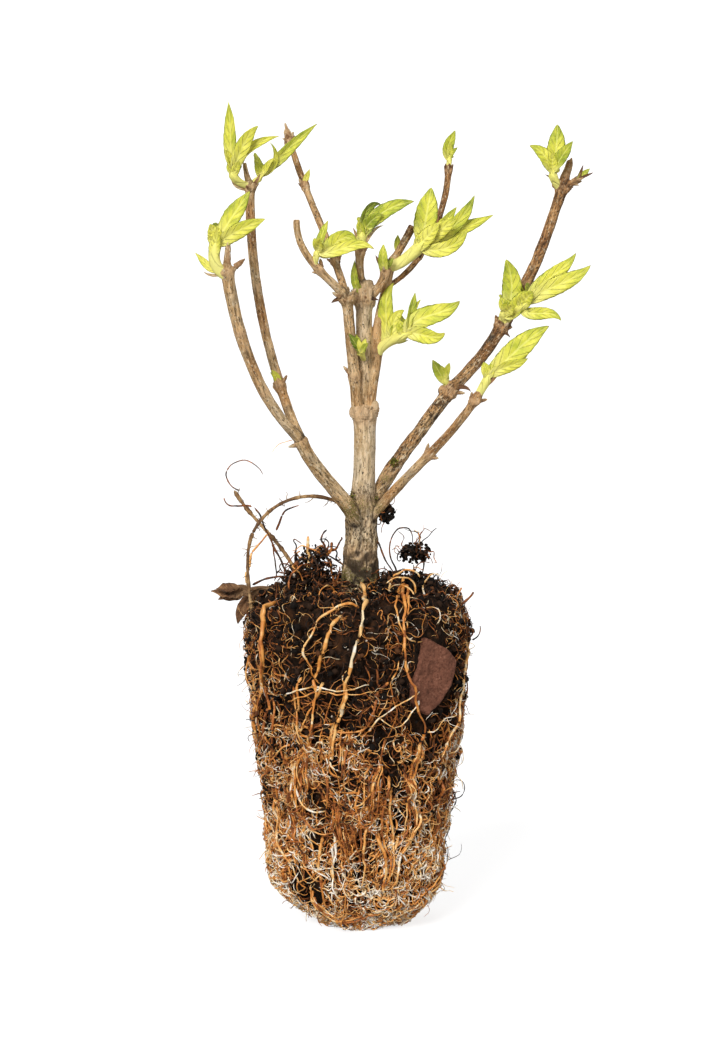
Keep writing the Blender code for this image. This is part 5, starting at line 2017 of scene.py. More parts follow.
RUNNERS = (
    Runner(-124, -5.7, (18, -13, -9), 117, 2.0, CREAM),
    Runner(-149, 37.9, (28, -21, -37), 76, 2.1, GOLD),
    Runner(-147, 50, (10, -16, -30), 60, 1.1, HONEY, 2),
    Runner(-88, 37.2, (-79, -22, 40), 45, 1.3, HONEY),
    Runner(-107, 70.2, (-48, -22, -47), 26, 1.3, HONEY),
    Runner(-98, 42.4, (-35, -8, -22), 63, 1.7, HONEY),
    Runner(-96, 69.5, (-12, -13, -13), 34, 1.8, CREAM),
    Runner(-24, 21, (-69, 5, 34), 91, 1.6, GOLD),
    Runner(-35, 20.1, (-47, -17, 108), 49, 1.2, HONEY),
    Runner(-47, 93.3, (-69, -6, -21), 30, 1.5, HONEY),
    Runner(-132, 75.5, (109, 98, 83), 38, 0.8, IVORY, 2),
    Runner(-84, 90.5, (146, 116, 112), 30, 0.8, IVORY),
    Runner(-48, 93, (109, 112, 109), 19, 0.8, IVORY),
    Runner(-3, 97, (-62, -63, -62), 20, 0.8, IVORY),
    Runner(-8, 59.6, (-36, -17, -46), 54, 1.5, CREAM),
    Runner(-96, 91.5, (-3, -4, -4), 17, 0.8, GOLD, 8),
    Runner(-128, 101, (3, 20, 125), 40, 1.3, CREAM, 3),
    Runner(-85, 128, (5, -3, -12), 30, 1.3, CREAM),
    Runner(-77, 132, (15, 6, -4), 30, 1.4, HONEY),
    Runner(-48, 124.5, (-31, -16, -2), 36, 1.4, CREAM),
    Runner(-54, 99, (-13, -13, -13), 15, 1.4, HONEY, 3),
    Runner(-18, 99.5, (-38, -39, -38), 20, 1.0, IVORY),
    Runner(-105, 132, (9, -2, 30), 25, 1.3, IVORY, 2),
    Runner(-3, 120.5, (7, -15, -17), 41, 0.6, DARK),
    Runner(-99, 119, (7, 9, 10), 22, 0.8, GOLD, 13),
    Runner(-94, 118.5, (17, 14, 10), 22, 0.8, AMBER, 11),
    Runner(-123, 100, (-11, -3, 5), 26, 0.9, GOLD, 12),
    Runner(-34, 23, (-51, -35, -10), 33, 1.3, GOLD),
    Runner(-55, 78.5, (-46, -49, -49), 17, 0.8, IVORY),
    Runner(-151, 81.5, (-5, -17, -29), 28, 1.5, AMBER, 2),
    Runner(-195, 50.5, (-12, 1, 13), 37, 1.3, HONEY, 2),
    Runner(-149, 122.5, (-2, 18, 44), 34, 1.1, CREAM, 2),
    Runner(-124, 157.5, (0, 76, 148), 32, 1.0, HONEY, 4),
    Runner(-12, 154, (-74, -58, -40), 31, 1.1, HONEY, 4),
    Runner(-77, 102, (0, -33, -66), 26, 1.2, HONEY),
    Runner(-129, 97.5, (-64, -43, -23), 31, 1.1, GOLD),
    Runner(-70, 108, (-10, 4, -8), 44, 1.3, CREAM, 2),
    Runner(-30, 112, (4, -6, -14), 40, 1.3, HONEY, 2),
    Runner(-135, 118, (6, 12, 20), 34, 1.2, GOLD, 3),
    Runner(-78, 104, (-20, -8, 10), 26, 0.9, GOLD, 9),
    Runner(-60, 106, (14, 0, -12), 30, 0.9, HONEY, 8),
)


@dataclass(frozen=True)
class Wisp(Course):
    """A thin root that stands free of the ball: how it grows, its foot, its width and colour."""

    foot: Place
    width: float
    colour: RootColour


WISPS = (
    Wisp(42, (-36, 29, 212), 34.5, (13.6, 0.0, 141.3), 0.75, UMBER),
    Wisp(-29, (152, 142), 15.0, (4.8, -2.0, 155.4), 0.9, UMBER),
    Wisp(-89, (152, 159), 9.5, (23.7, 4.0, 146.0), 0.7, DARK),
    Wisp(-17, (45, 40), 10.0, (22.1, 4.0, 152.9), 0.5, DARK),
    Wisp(-148, (161, 158), 5.5, (8.4, -2.0, 163.9), 0.45, UMBER),
    Wisp(-28, (14, 43, 76), 16.0, (-35.7, 2.0, 158.9), 0.9, RUST),
    Wisp(-33, (149, 145, 164), 17.5, (-37.3, 2.0, 154.0), 1.1, UMBER),
    Wisp(17, (-12, 27, 62), 25.0, (-47.2, 3.0, 136.8), 1.2, HONEY),
    Wisp(-170, (73, 83, 3), 13.5, (-45.3, 4.0, 168.3), 0.8, COPPER),
    Wisp(-12, (-91, 58, 162), 30.0, (-49.7, 5.0, 175.0), 0.6, RUST),
    Wisp(-21, (150, 161, 194), 32.0, (-44.5, 5.0, 168.2), 0.8, UMBER),
    Wisp(0, (7, -3), 22.5, (-23.2, -4.0, 135.1), 1.9, CREAM),
    Wisp(-173, (35, 77, 142), 19.5, (-8.4, -3.0, 145.4), 0.7, UMBER),
    Wisp(-7, (29, 29, 112), 27.0, (-26.0, -5.0, 136.0), 0.7, UMBER),
    Wisp(-39, (-42, 53, 270), 23.5, (-17.2, -6.0, 138.2), 0.75, DARK),
    Wisp(0, (-39, 9, 60), 17.0, (-30.0, -6.0, 136.2), 0.7, UMBER),
    Wisp(-14, (50, -1), 10.5, (-14.0, -8.0, 136.5), 0.8, RUST),
    Wisp(-12, (57, 90, 151), 22.0, (-45.3, 0.0, 137.3), 1.0, UMBER),
    Wisp(0, (30, 45), 11.0, (37.3, -2.0, 126.6), 1.3, COPPER),
    Wisp(20, (20, 35), 8.0, (36.0, 1.0, 128.6), 1.1, AMBER),
    Wisp(-19, (71, -17), 7.0, (42.9, -3.0, 115.4), 0.6, UMBER),
    Wisp(3, (82, 13, -107), 14.0, (35.0, -6.0, 50.6), 0.5, UMBER),
    Wisp(175, (248, 180, 96), 15.5, (35.8, -6.0, 74.4), 0.45, IVORY),
    Wisp(-145, (140, 204), 8.0, (-46.1, -3.0, 109.3), 0.5, RUST),
    Wisp(0, (121, 181), 10.0, (34.9, -8.0, 63.3), 0.5, WHITE),
    Wisp(-167, (97, 141), 10.5, (-28.4, -20.0, 198.2), 0.35, HONEY),
    Wisp(-60, (60, 100, 120), 12.0, (7.6, -3.0, 137.5), 0.9, HONEY),
    Wisp(-10, (-20, 60, 150), 20.0, (10.0, -14.0, 136.0), 0.95, CREAM),
    Wisp(-160, (0, 70, 130), 17.0, (20.0, -18.0, 136.5), 0.8, CREAM),
    Wisp(-50, (10, 90, 150), 14.0, (13.0, -20.0, 137.0), 1.0, HONEY),
    Wisp(-30, (-30, 40, 110), 15.0, (24.0, -14.0, 135.0), 0.8, IVORY),
    Wisp(-120, (10, 80, 140), 16.0, (-12.0, -16.0, 135.0), 0.8, HONEY),
    Wisp(30, (-20, 50, 120), 18.0, (-30.0, -12.0, 137.0), 0.8, COPPER),
)


@dataclass(frozen=True)
class Heap:
    """A heap of crumbs: its middle, its half sizes, the crumbs' count, widths and colour shares."""

    name: str
    middle: Place
    radii: Place
    count: int
    width: tuple[float, float]
    shares: tuple[float, ...] = (50, 38, 11, 1, 0, 0)
    rootlets: int = 0
    nodes: tuple[str, ...] = ()
    thick: float = 1.0


HEAPS = (
    Heap("near_clod", (8.3, -1.5, 166.4), (3.7, 3.1, 3.9), 150, (0.9, 2.3), (66, 29, 5, 0, 0, 0), 9,
        ("soil_clod_near",)),
    Heap("far_clod", (20.6, 6.0, 149.4), (6.8, 4.8, 4.4), 200, (0.9, 2.3), (62, 31, 7, 0, 0, 0), 18,
        ("soil_clod_far",)),
    Heap("left_heap", (-24.0, -4.0, 139.5), (10.0, 9.0, 7.0), 350, (0.8, 2.3), (52, 36, 11, 1, 0, 0), 26),
    Heap("right_heap", (17.0, -7.0, 138.5), (13.0, 10.0, 5.0), 340, (1.0, 3.0), (54, 36, 9, 1, 0, 0), 24),
    Heap("trunk_heap", (1.0, -4.0, 137.0), (12.0, 9.0, 3.5), 200, (0.8, 2.4), (58, 36, 6, 0, 0, 0), 12),
    Heap("side_heap", (-20.5, -2.0, 145.0), (8.5, 6.0, 9.0), 300, (0.6, 2.0), (46, 38, 16, 0, 0, 0), 44,
        (), 1.9),
    Heap("foot_moss", (-2.5, 0.0, 143.0), (7.5, 7.5, 8.0), 170, (0.3, 0.9), (22, 30, 12, 2, 18, 16)),
    Heap("crotch_moss", (-5.0, -3.4, 172.5), (2.2, 2.6, 3.4), 90, (0.3, 0.8), (14, 14, 2, 0, 40, 30)),
    Heap("stem_moss", (4.6, -1.0, 170.0), (1.8, 2.6, 3.6), 50, (0.3, 0.8), (14, 14, 0, 0, 42, 30)),
    Heap("bud_moss", (11.6, 1.5, 186.6), (1.7, 1.7, 1.9), 80, (0.4, 1.0), (0, 8, 5, 0, 50, 37)),
)


@dataclass
class RootBall:
    """The peat, its crumbs and heaps, and the roots that creep over it and stand out of it."""

    shape: BallShape
    stone: StoneChip
    seed: int
    sunk: float = 2.3
    weather: float = 2.0
    branches: int = 520
    core_grid: tuple[int, int] = (220, 150)
    core_lumps: tuple[tuple[float, float], ...] = ((2.0, 6.5), (1.1, 2.4), (0.5, 1.1))
    runner_steps: int = 44
    twig_steps: int = 13
    chance: np.random.Generator = field(init=False)
    noise: Lattice = field(init=False)

    def __post_init__(self) -> None:
        """Starts its source of chance and its noise."""
        self.chance = np.random.default_rng(self.seed)
        self.noise = Lattice(self.seed)

    def build(self) -> None:
        """Makes every piece of the root ball."""
        self.build_core()
        for mat in MATS:
            self.build_mat(mat)
        self.build_runners()
        self.build_hairs()
        self.build_wisps()
        self.build_crumbs("coarse_crumbs", 1900, 2, (50, 150), (1.2, 3.5), (58, 33, 9, 0, 0, 0))
        self.build_crumbs("fine_crumbs", 5600, 1, (4, 150), (0.4, 1.2), (48, 34, 15, 3, 0, 0))
        for heap in HEAPS:
            self.build_heap(heap)

    def build_core(self) -> None:
        """The body of peat, lumpy and pitted, that stands for the root ball's solid."""
        bm = bmesh.new()
        spots = add_tube(bm, *self.core_grid)
        turns = np.array([turn for _, turn, _ in spots])
        along = np.array([row for _, _, row in spots]) / self.core_grid[1] * self.shape.total
        plain = self.shape.places(turns, along, 0.0)
        push = sum(by * self.noise.at(plain, size) for by, size in self.core_lumps)
        push -= self.sunk + 3.4 * self._hollow(plain) + 3.0 * self.stone.covers(plain, -1.0)
        places = self.shape.places(turns, along, push)
        places[:, 2] = np.maximum(places[:, 2], FLOOR)
        for (vert, _, _), place in zip(spots, places):
            vert.co = place
        finish_piece(mesh_of(bm, "peat_core"), [Finish.PEAT], "root_mat", "root_ball")

    def _hollow(self, places: np.ndarray) -> np.ndarray:
        """How far places lie in a dark hollow that the roots leave open.

        Args:
            places: The places.

        Returns:
            From 0 to 1 for each.
        """
        patches = np.clip((self.noise.at(places * (1, 1, 0.75), 11.0) - 0.27) * 4, 0, 1)
        front = places[..., 1] < 0
        for x, z, reach in HOLLOWS:
            near = bell(np.hypot(places[..., 0] - x, 0.7 * (places[..., 2] - z)), reach)
            patches = np.maximum(patches, near * front)
        return patches

    def _spots(self, count: int, low: float, high: float, gather: tuple[float, float]) -> np.ndarray:
        """Evenly scattered spots between two heights, as turns and lengths along the outline.

        Args:
            count: How many to try.
            low: The least height; less than nothing starts on the underside.
            high: The greatest; more than the ball's own takes in the middle of its top.
            gather: The turn that they gather at, and how strongly.

        Returns:
            Their turns and their lengths, in two rows.
        """
        shape = self.shape
        start = shape.at_height(low)
        end = shape.total - 3 if high > shape.height else shape.at_height(high)
        turns = self.chance.uniform(-math.pi, math.pi, count * 4)
        along = self.chance.uniform(start, end, count * 4)
        wanted = shape.reach(along) / shape.radius * (1 - gather[1] * (0.5 - 0.5 * np.cos(turns - gather[0])))
        kept = self.chance.random(count * 4) < wanted
        return np.stack([turns[kept], along[kept]])[:, :count]

    def build_mat(self, mat: Mat) -> None:
        """Makes one kind of creeping roots as a piece.

        Args:
            mat: The kind.
        """
        turns, along = self._spots(round(mat.count * (1.5 + mat.clump)), mat.low, mat.high, mat.gather)
        count = len(turns)
        headings = self.chance.normal(0, mat.spread, count)
        lengths = self.chance.uniform(*mat.length, count)
        paths = self._creep(turns, along, headings, lengths, mat)
        open_to = self._hollow(paths)
        lost = mat.hollow * np.maximum(open_to.mean(axis=1) * 1.5, open_to.max(axis=1) ** 4)
        lost = np.maximum(lost, self.stone.covers(paths).mean(axis=1) * 25)
        thin = np.clip(0.5 - 3.0 * self.noise.at(paths[:, mat.steps // 2] + 500, 8.0), 0, 1)
        lost = np.maximum(lost, thin * mat.clump * 0.9)
        kept = np.nonzero(self.chance.random(count) > lost)[0][:mat.count]
        paths = paths[kept]
        count = len(kept)
        radii = self.chance.uniform(*mat.width, (count, 1)) / 2 * np.linspace(1.0, 0.5, mat.steps)
        radii = radii * (1 + 0.12 * self.chance.normal(size=(count, mat.steps)))
        low = 1 - np.clip(paths[:, 0, 2:] / 125, 0, 1)
        colours = deal(self.chance, low * mat.below + (1 - low) * mat.above)
        self._finish_roots(mat.name, paths, np.maximum(radii, 0.05), colours, mat.sides)

    def _finish_roots(
        self, name: str, paths: np.ndarray, radii: np.ndarray, colours: np.ndarray, sides: int,
        slot: str = "root_mat",
    ) -> None:
        """Joins roots in a piece, each weathered to paler and darker lengths about its own colour.

        Args:
            name: The piece's name.
            paths: The paths of the roots.
            radii: Their radii along them.
            colours: The number of each one's own colour.
            sides: The sides of their tubes.
            slot: The record's slot, handed on to the piece.
        """
        places = paths[:, :-1] + 700
        worn = self.weather * self.noise.at(places, 3.2) + 0.6 * self.weather * self.noise.at(places, 1.2)
        dealt = np.clip(np.rint(colours[:, None] + worn), 0, len(ROOT_COLOURS) - 1).astype(int)
        finish_piece(Strands(paths, radii, dealt, sides).mesh(name), ROOT_COLOURS, slot)

    def _creep(
        self, turns: np.ndarray, along: np.ndarray, headings: np.ndarray, lengths: np.ndarray, mat: Mat
    ) -> np.ndarray:
        """Roots that creep over the surface, the way that their neighbours do.

        Args:
            turns: Where each starts about the axis.
            along: Where each starts along the outline.
            headings: The way each sets off, 0 down the side and a quarter turn sideways.
            lengths: Their lengths.
            mat: How they wander, how far out they lie and how they follow their neighbours.

        Returns:
            Their paths.
        """
        count = len(turns)
        sway = self.chance.normal(0, mat.wander, (count, mat.steps))
        sway = (sway + np.roll(sway, 1, axis=1) + np.roll(sway, 2, axis=1)) / 1.7
        phases = self.chance.uniform(0, math.tau, count)
        waves = self.chance.uniform(1.5, 4.5, count)
        paths = np.empty((count, mat.steps, 3))
        stride = lengths / (mat.steps - 1)
        for step in range(mat.steps):
            rise = 0.5 + 0.5 * np.sin(phases + waves * step / (mat.steps - 1) * math.pi)
            paths[:, step] = self.shape.places(turns, along, mat.out[0] + (mat.out[1] - mat.out[0]) * rise)
            flow = 0.9 * self.noise.at(paths[:, step] + 300, 17.0)
            headings = headings + sway[:, step] - mat.pull * np.sin(headings - flow)
            along = along - stride * np.cos(headings)
            headings = np.where(along < 6.0, math.pi - headings, headings)
            along = np.clip(along, 6.0, self.shape.total - 4.0)
            turns = turns + stride * np.sin(headings) / np.maximum(self.shape.reach(along), 4.0)
        return paths

    def build_runners(self) -> None:
        """The main roots that show on the front, one by one or in bundles."""
        steps = self.runner_steps
        share = np.linspace(0, 1, steps)
        buried = 1 - ease(share / 0.14) * ease((1 - share) / 0.16)
        paths, radii, colours = [], [], []
        for runner in RUNNERS:
            bend = Course(0, runner.leans, runner.length)
            for strand in range(runner.strands):
                bundled = runner.strands > 1
                apart = (strand - (runner.strands - 1) / 2) * runner.width * 0.8
                turn = math.radians(runner.turn) + apart / 42
                along = self.shape.total - runner.down - self.chance.uniform(-3, 6) * bundled
                length = runner.length * (self.chance.uniform(0.6, 1.2) if bundled else 1.0)
                stride = length / (steps - 1)
                swing, wave = bundled * self.chance.normal(0, 0.16), self.chance.uniform(0, 9)
                turns, alongs = np.empty(steps), np.empty(steps)
                for step in range(steps):
                    turns[step], alongs[step] = turn, along
                    heading = math.radians(bend.lean(share[step])) + swing * math.sin(7 * share[step] + wave)
                    along = max(along - stride * math.cos(heading), 5.0)
                    turn += stride * math.sin(heading) / max(float(self.shape.reach(along)), 5.0)
                lift = 0.35 * runner.width + 1.1 + 0.5 * np.sin(9 * share + wave)
                lift = lift + bundled * self.chance.normal(0, 0.4) - 2.6 * buried
                path = self.shape.places(turns, alongs, lift)
                paths.append(path)
                swell = 1 + 0.34 * self.noise.at(path + 90, 2.6) + 0.22 * self.noise.at(path + 30, 0.9)
                radii.append(0.44 * runner.width * (1 - 0.5 * share) * swell)
                shift = int(self.chance.integers(-1, 3)) if bundled else 0
                colours.append(min(max(ROOT_COLOURS.index(runner.colour) + shift, 0), 9))
        paths = self._wobbled(self._wobbled(np.array(paths), 1.3, 6.5), 0.45, 2.6)
        self._finish_roots("front_roots", paths, np.array(radii), np.array(colours), 8)
        self._branch(paths, np.array(colours))

    def _branch(self, paths: np.ndarray, colours: np.ndarray) -> None:
        """Lets fine rootlets grow out of roots, near their own colours.

        Args:
            paths: The paths of the roots.
            colours: The number of each one's own colour.
        """
        count = self.branches
        parents = self.chance.integers(0, len(paths), count)
        feet = paths[parents, self.chance.integers(3, paths.shape[1] - 6, count)]
        ways = self.chance.normal(0, 0.8, feet.shape) * (1.0, 0.7, 1.0) + 0.35 * unit(feet * (1.0, 1.0, 0.0))
        twigs = self.stray(feet, ways, self.chance.uniform(2.5, 13, count), self.twig_steps, 0.34, 0.03)
        kept = (self._hollow(twigs).max(axis=1) < 0.5) & (self.stone.covers(twigs).max(axis=1) < 0.5)
        radii = self.chance.uniform(0.13, 0.3, (count, 1)) * np.linspace(1.0, 0.4, self.twig_steps)
        shades = np.clip(colours[parents] + self.chance.integers(-2, 3, count), 0, 9)
        self._finish_roots("root_branches", twigs[kept], radii[kept], shades[kept], 4)

    def _wobbled(self, paths: np.ndarray, by: float, size: float) -> np.ndarray:
        """Makes paths a little crooked, and leaves their feet where they are.

        Args:
            paths: The paths.
            by: How far they stray.
            size: How wide their bends are.

        Returns:
            The new paths.
        """
        sway = np.stack([self.noise.at(paths + shift, size) for shift in (11.0, 57.0, 123.0)], axis=-1)
        sway -= sway[:, :1]
        return paths + by * sway

    def stray(
        self, feet: np.ndarray, ways: np.ndarray, lengths: np.ndarray, steps: int, wander: float, droop: float
    ) -> np.ndarray:
        """Roots that stand free in the air.

        Args:
            feet: Where they spring.
            ways: The way each sets off.
            lengths: Their lengths.
            steps: The points of each.
            wander: How far they stray at each step.
            droop: How much they bend down at each step.

        Returns:
            Their paths.
        """
        paths = np.empty((len(feet), steps, 3))
        paths[:, 0] = feet
        bends = self.chance.normal(0, wander, feet.shape)
        ways = unit(ways)
        for step in range(1, steps):
            bends = 0.7 * bends + self.chance.normal(0, wander * 0.6, feet.shape)
            ways = unit(ways + bends - (0.0, 0.0, droop))
            paths[:, step] = paths[:, step - 1] + ways * (lengths / (steps - 1))[:, None]
        return paths

    def build_hairs(self) -> None:
        """Hairs and loose ends that stand out of the sides, pale low down and dark high up."""
        turns, along = self._spots(1300, 4, 150, (0.0, 0.0))
        bare = self.stone.covers(self.shape.places(turns, along, 0.0), 1.5) < 0.5
        turns, along = turns[bare], along[bare]
        feet = self.shape.places(turns, along, 0.0)
        outer = self.shape.places(turns, along, 1.0) - feet
        count = len(turns)
        lengths = self.chance.uniform(2.0, 7.5, count)
        ways = outer + self.chance.normal(0, 0.75, (count, 3))
        paths = self.stray(feet, ways, lengths, 9, 0.28, 0.03)
        low = 1 - np.clip(feet[:, 2:] / 125, 0, 1)
        radii = self.chance.uniform(0.1, 0.21, (count, 1)) * np.linspace(1, 0.5, 9) * (0.8 + 0.8 * low)
        shares = low * (30, 25, 18, 10, 5, 4, 3, 2, 2, 1) + (1 - low) * (2, 4, 7, 9, 10, 12, 14, 16, 14, 12)
        self._finish_roots("loose_hairs", paths, radii, deal(self.chance, shares), 3)

    def build_wisps(self) -> None:
        """The longer roots that stand or hang free, and the stray rootlets on the left of the trunk."""
        paths = np.array([[tuple(point) for point in wisp.route(wisp.foot)] for wisp in WISPS])
        paths = self._wobbled(paths, 0.8, 4.0)
        swell = 1 + 0.25 * self.noise.at(paths, 1.5)
        radii = np.array([[wisp.width / 2] for wisp in WISPS]) * np.linspace(1.0, 0.6, paths.shape[1]) * swell
        colours = np.array([ROOT_COLOURS.index(wisp.colour) for wisp in WISPS])
        self._finish_roots("free_roots", paths, radii, colours, 7)

    def _crumb_piece(
        self, name: str, middles: np.ndarray, widths: np.ndarray, shares: Sequence[float], finer: int,
        *nodes: str,
    ) -> None:
        """Joins crumbs in a piece.

        Args:
            name: The piece's name.
            middles: Their middles.
            widths: Their widths.
            shares: The share of each crumb colour.
            finer: How often the faces of a crumb are split.
            nodes: The solid that they stand for.
        """
        single = bmesh.new()
        bmesh.ops.create_icosphere(single, subdivisions=finer, radius=0.5)
        lump = np.array([vert.co for vert in single.verts])
        lump *= 1 + 0.4 * self.noise.at(lump + 40, 0.45)[:, None]
        corners = [[vert.index for vert in face.verts] for face in single.faces]
        single.free()
        count = len(middles)
        scales = self.chance.uniform(0.55, 1.0, (count, 3)) * widths[:, None]
        spins = np.linalg.qr(self.chance.normal(size=(count, 3, 3)))[0]
        spins *= np.sign(np.linalg.det(spins))[:, None, None]
        places = np.einsum("nij,nkj->nki", spins, lump[None] * scales[:, None]) + middles[:, None]
        places[..., 2] = np.maximum(places[..., 2], FLOOR)
        colours = deal(self.chance, np.array(shares)[None, :] * np.ones((count, 1)))
        finish_piece(joined_mesh(name, places, corners, colours), tuple(Crumb), "soil", *nodes)

    def build_crumbs(
        self, name: str, count: int, finer: int, heights: tuple[float, float],
        widths: tuple[float, float], shares: tuple[float, ...],
    ) -> None:
        """Scatters crumbs over the ball, fewer low down.

        Args:
            name: The piece's name.
            count: How many crumbs.
            finer: How often the faces of a crumb are split.
            heights: The least and the greatest height.
            widths: The least and the greatest width.
            shares: The share of each crumb colour.
        """
        turns, along = self._spots(count * 2, *heights, (0.0, 0.0))
        middles = self.shape.places(turns, along, self.chance.uniform(-1.8, 0.5, len(turns)))
        kept = self.chance.random(len(turns)) < 0.25 + 0.75 * np.clip((middles[:, 2] - 30) / 70, 0, 1)
        kept &= self.stone.covers(middles, 1.0) < 0.5
        middles = middles[kept][:count]
        sizes = widths[0] + (widths[1] - widths[0]) * self.chance.random(len(middles)) ** 1.8
        self._crumb_piece(name, middles, sizes, shares, finer)

    def build_heap(self, heap: Heap) -> None:
        """Heaps crumbs in and round an ellipsoid, with curly rootlets out of it.

        Args:
            heap: The heap.
        """
        ways = unit(self.chance.normal(size=(heap.count, 3)))
        depth = self.chance.random((heap.count, 1)) ** 0.4
        middles = heap.middle + ways * depth * heap.radii
        sizes = heap.width[0] + (heap.width[1] - heap.width[0]) * self.chance.random(heap.count) ** 1.5
        self._crumb_piece(heap.name, middles, sizes, heap.shares, 2, *heap.nodes)
        if heap.rootlets:
            self._add_rootlets(heap)

    def _add_rootlets(self, heap: Heap) -> None:
        """Lets dark curly rootlets grow out of a heap, most of them from its upper side.

        Args:
            heap: The heap.
        """
        count = heap.rootlets
        ways = unit(self.chance.normal(size=(count, 3)) + (0.0, 0.0, 0.5))
        feet = heap.middle + ways * heap.radii * 0.7
        lengths = self.chance.uniform(0.7, 2.2, count) * max(heap.radii)
        paths = self.stray(feet, ways, np.minimum(lengths, 18.0), 26, 0.26, 0.01)
        radii = self.chance.uniform(0.14, 0.36, (count, 1)) * np.linspace(1.0, 0.45, 26)
        radii = radii * (1 + 0.3 * self.noise.at(paths, 1.4)) * heap.thick
        shares = np.ones((count, 1)) * (0, 0, 1, 2, 4, 8, 14, 26, 27, 18)
        self._finish_roots(heap.name + "_rootlets", paths, radii, deal(self.chance, shares), 6, "soil")


@dataclass(frozen=True)
class LooseRoot:
    """A root that arches out of the ball: its solid, what it springs from, its diameters and hairs."""

    node: str
    parent: str
    at: float
    course: Course
    base: float
    tip: float
    knobs: float
    shift: Place = (0.0, 0.0, 0.0)


LOOSE_ROOTS = (
    LooseRoot("loose_root", "trunk", 0.76, Course(-169, (38, 98, 163), 56.5), 1.5, 1.3, 0.2),
    LooseRoot("loose_root_end", "loose_root", 0.98, Course(180, (165, 186, 176), 41.0), 1.3, 1.1, 0.25),
    LooseRoot("knobbly_root", "", 0.0, Course(162, (13, 44, 31), 47.5), 1.8, 1.3, 0.4, KNOBBLY_FOOT),
)


@dataclass
class LooseRoots:
    """The roots that stand off on the left, each with its knobs and side hairs."""

    skeleton: Skeleton
    ball: RootBall
    steps: int = 70

    def build(self) -> None:
        """Makes each root as a piece that stands for its solid."""
        for root in LOOSE_ROOTS:
            self.skeleton.grow(root.node, root.parent, root.at, root.course, root.shift)
            self._build_root(root, self.skeleton.routes[root.node])

    def _build_root(self, root: LooseRoot, route: Sequence[Vector]) -> None:
        """Shapes one root, and its hairs as a piece of their own.

        Args:
            root: The root.
            route: Its route.
        """
        chance = self.ball.chance
        path = np.array([tuple(point_on(route, share)) for share in np.linspace(0, 1, self.steps)])[None]
        swell = 1 + root.knobs * np.clip(2.5 * self.ball.noise.at(path, 1.6), -0.3, 1.4)
        radii = np.linspace(root.base, root.tip, self.steps)[None] / 2 * swell
        skin = Strands(path, radii, np.zeros(1, dtype=int), 12).mesh(root.node + "_skin")
        finish_piece(skin, [Finish.ROOT], "loose_root", root.node)
        hairs = round(root.course.length * (0.4 + root.knobs))
        feet = path[0, chance.integers(4, self.steps - 2, hairs)]
        lengths = chance.uniform(1.5, 5.0, hairs)
        paths = self.ball.stray(feet, chance.normal(size=(hairs, 3)), lengths, 14, 0.22, 0.02)
        thin = np.ones((hairs, 1)) * np.linspace(0.2, 0.1, 14)
        fringe = Strands(paths, thin, np.zeros(hairs, dtype=int), 5).mesh(root.node + "_hairs")
        finish_piece(fringe, [Finish.ROOT], "loose_root")


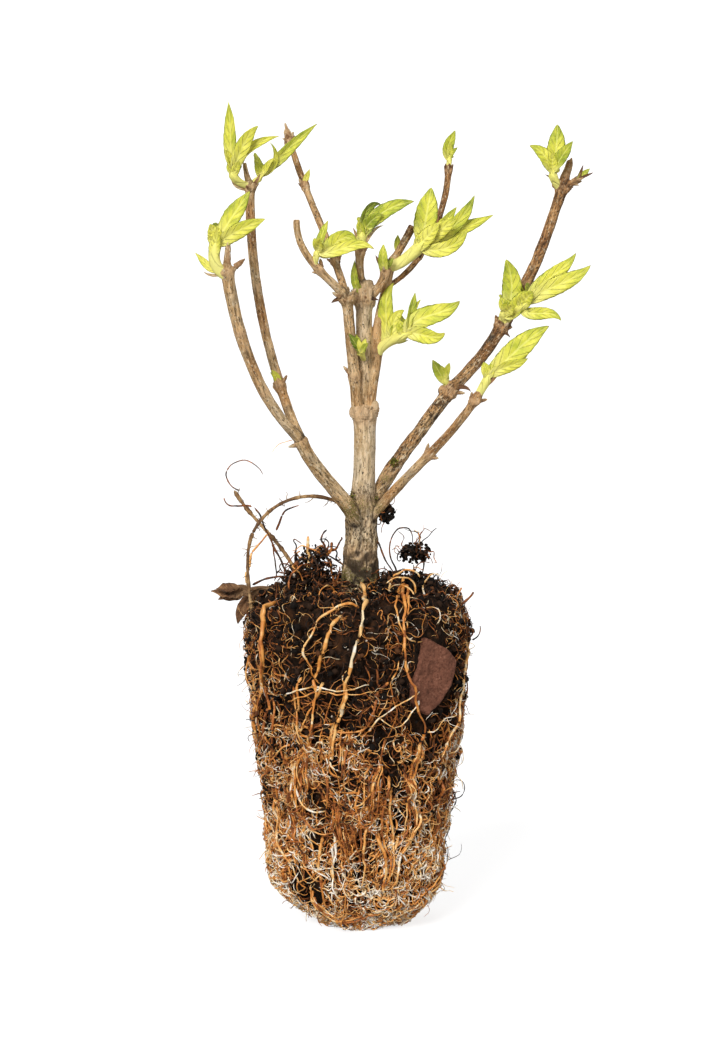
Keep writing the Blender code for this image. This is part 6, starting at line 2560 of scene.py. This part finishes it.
@dataclass(frozen=True)
class Studio:
    """The pale floor that rises all round, the soft light and the camera at the photograph's angle."""

    aim: Place = (-2.0, 0.0, 163.6)
    elevation: float = 8.0
    distance: float = 1500.0
    tall: float = 1040.0
    focus: float = 3750.0
    sensor: float = 36.0
    floor_radius: float = 5000.0
    wall: float = 6000.0
    bend: float = 1500.0
    albedo: float = 0.4
    glow: float = 0.78
    sky: float = 0.38
    lamps: tuple[tuple[str, Place, float, float], ...] = (
        ("key", (-420.0, -1050.0, 820.0), 25.0, 2.75), ("fill", (900.0, -700.0, 450.0), 45.0, 0.5),
        ("back", (-500.0, 900.0, 600.0), 50.0, 0.8),
    )

    def build(self) -> None:
        """Sets up the floor, the lights and the camera."""
        self._floor()
        self._light()
        self._camera()

    def _floor(self) -> None:
        """A round floor whose edge bends up into a wall, all of one pale stuff."""
        bm = bmesh.new()
        bmesh.ops.create_circle(bm, cap_ends=True, segments=96, radius=self.floor_radius)
        rim = [edge for edge in bm.edges if len(edge.link_faces) == 1]
        wall = bmesh.ops.extrude_edge_only(bm, edges=rim)["geom"]
        top = [vert for vert in wall if isinstance(vert, bmesh.types.BMVert)]
        bmesh.ops.translate(bm, vec=(0.0, 0.0, self.wall), verts=top)
        corner = [edge for edge in bm.edges if all(vert.co.z < 1.0 for vert in edge.verts)]
        bmesh.ops.bevel(
            bm, geom=corner, offset=self.bend, segments=12, profile=0.5, material=-1, affect="EDGES"
        )
        bmesh.ops.recalc_face_normals(bm, faces=bm.faces)
        bmesh.ops.reverse_faces(bm, faces=bm.faces)
        mesh = mesh_of(bm, "floor")
        paper = Bench("floor_white").dress(
            Base_Color=(self.albedo,) * 3, Roughness=1.0, Specular_IOR_Level=0.0,
            Emission_Color=(1.0, 1.0, 1.0), Emission_Strength=self.glow,
        )
        mesh.materials.append(paper)
        floor = bpy.data.objects.new("floor", mesh)
        bpy.context.scene.collection.objects.link(floor)
        floor.visible_diffuse = False
        floor.visible_glossy = False
        floor.visible_shadow = False

    def _light(self) -> None:
        """White surroundings and three soft, distant lamps."""
        scene = bpy.context.scene
        world = bpy.data.worlds.new("studio")
        world.use_nodes = True
        sky = world.node_tree.nodes["Background"]
        sky.inputs["Color"].default_value = (1.0, 1.0, 1.0, 1.0)
        sky.inputs["Strength"].default_value = self.sky
        scene.world = world
        scene.view_settings.view_transform = "Standard"
        for name, place, spread, power in self.lamps:
            lamp = bpy.data.lights.new(name, "SUN")
            lamp.angle = math.radians(spread)
            lamp.energy = power
            holder = bpy.data.objects.new(name, lamp)
            holder.location = Vector(place) * MM
            holder.rotation_euler = (Vector(self.aim) - Vector(place)).to_track_quat("-Z", "Y").to_euler()
            scene.collection.objects.link(holder)

    def _camera(self) -> None:
        """The camera, aimed at the middle of the photograph."""
        lens = bpy.data.cameras.new("camera")
        lens.sensor_width = self.sensor
        lens.lens = self.focus / self.tall * self.sensor
        lens.clip_end = 50.0
        camera = bpy.data.objects.new("camera", lens)
        tilt = math.radians(self.elevation)
        back = Vector((0.0, -math.cos(tilt), math.sin(tilt))) * self.distance
        camera.location = (Vector(self.aim) + back) * MM
        camera.rotation_euler = (math.pi / 2 - tilt, 0.0, 0.0)
        bpy.context.scene.collection.objects.link(camera)
        bpy.context.scene.camera = camera


def main() -> None:
    """Loads the frame and builds the plant and its studio."""
    logging.basicConfig(level=logging.INFO, format="%(message)s")
    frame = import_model()
    LOG.info("%d solids in the frame", len(frame["nodes"]))
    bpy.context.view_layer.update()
    for old in [item for item in bpy.data.objects if item.type in ("CAMERA", "LIGHT")]:
        bpy.data.objects.remove(old)
    skeleton = Skeleton()
    for limb in LIMBS:
        skeleton.grow(limb.node, limb.parent, limb.at, limb.course, limb.shift)
    bark = BarkWork(skeleton, 11)
    for grove in GROVES:
        bark.build(grove)
    foliage = Foliage(skeleton, 5)
    for tuft in TUFTS:
        foliage.build_tuft(tuft)
    foliage.build_sprouts()
    foliage.build_scales()
    foliage.build_fallen()
    stone = StoneChip()
    stone.build(Lattice(3))
    ball = RootBall(BallShape(Lattice(21)), stone, 7)
    ball.build()
    LooseRoots(skeleton, ball).build()
    Studio().build()


if __name__ == "__main__":
    main()
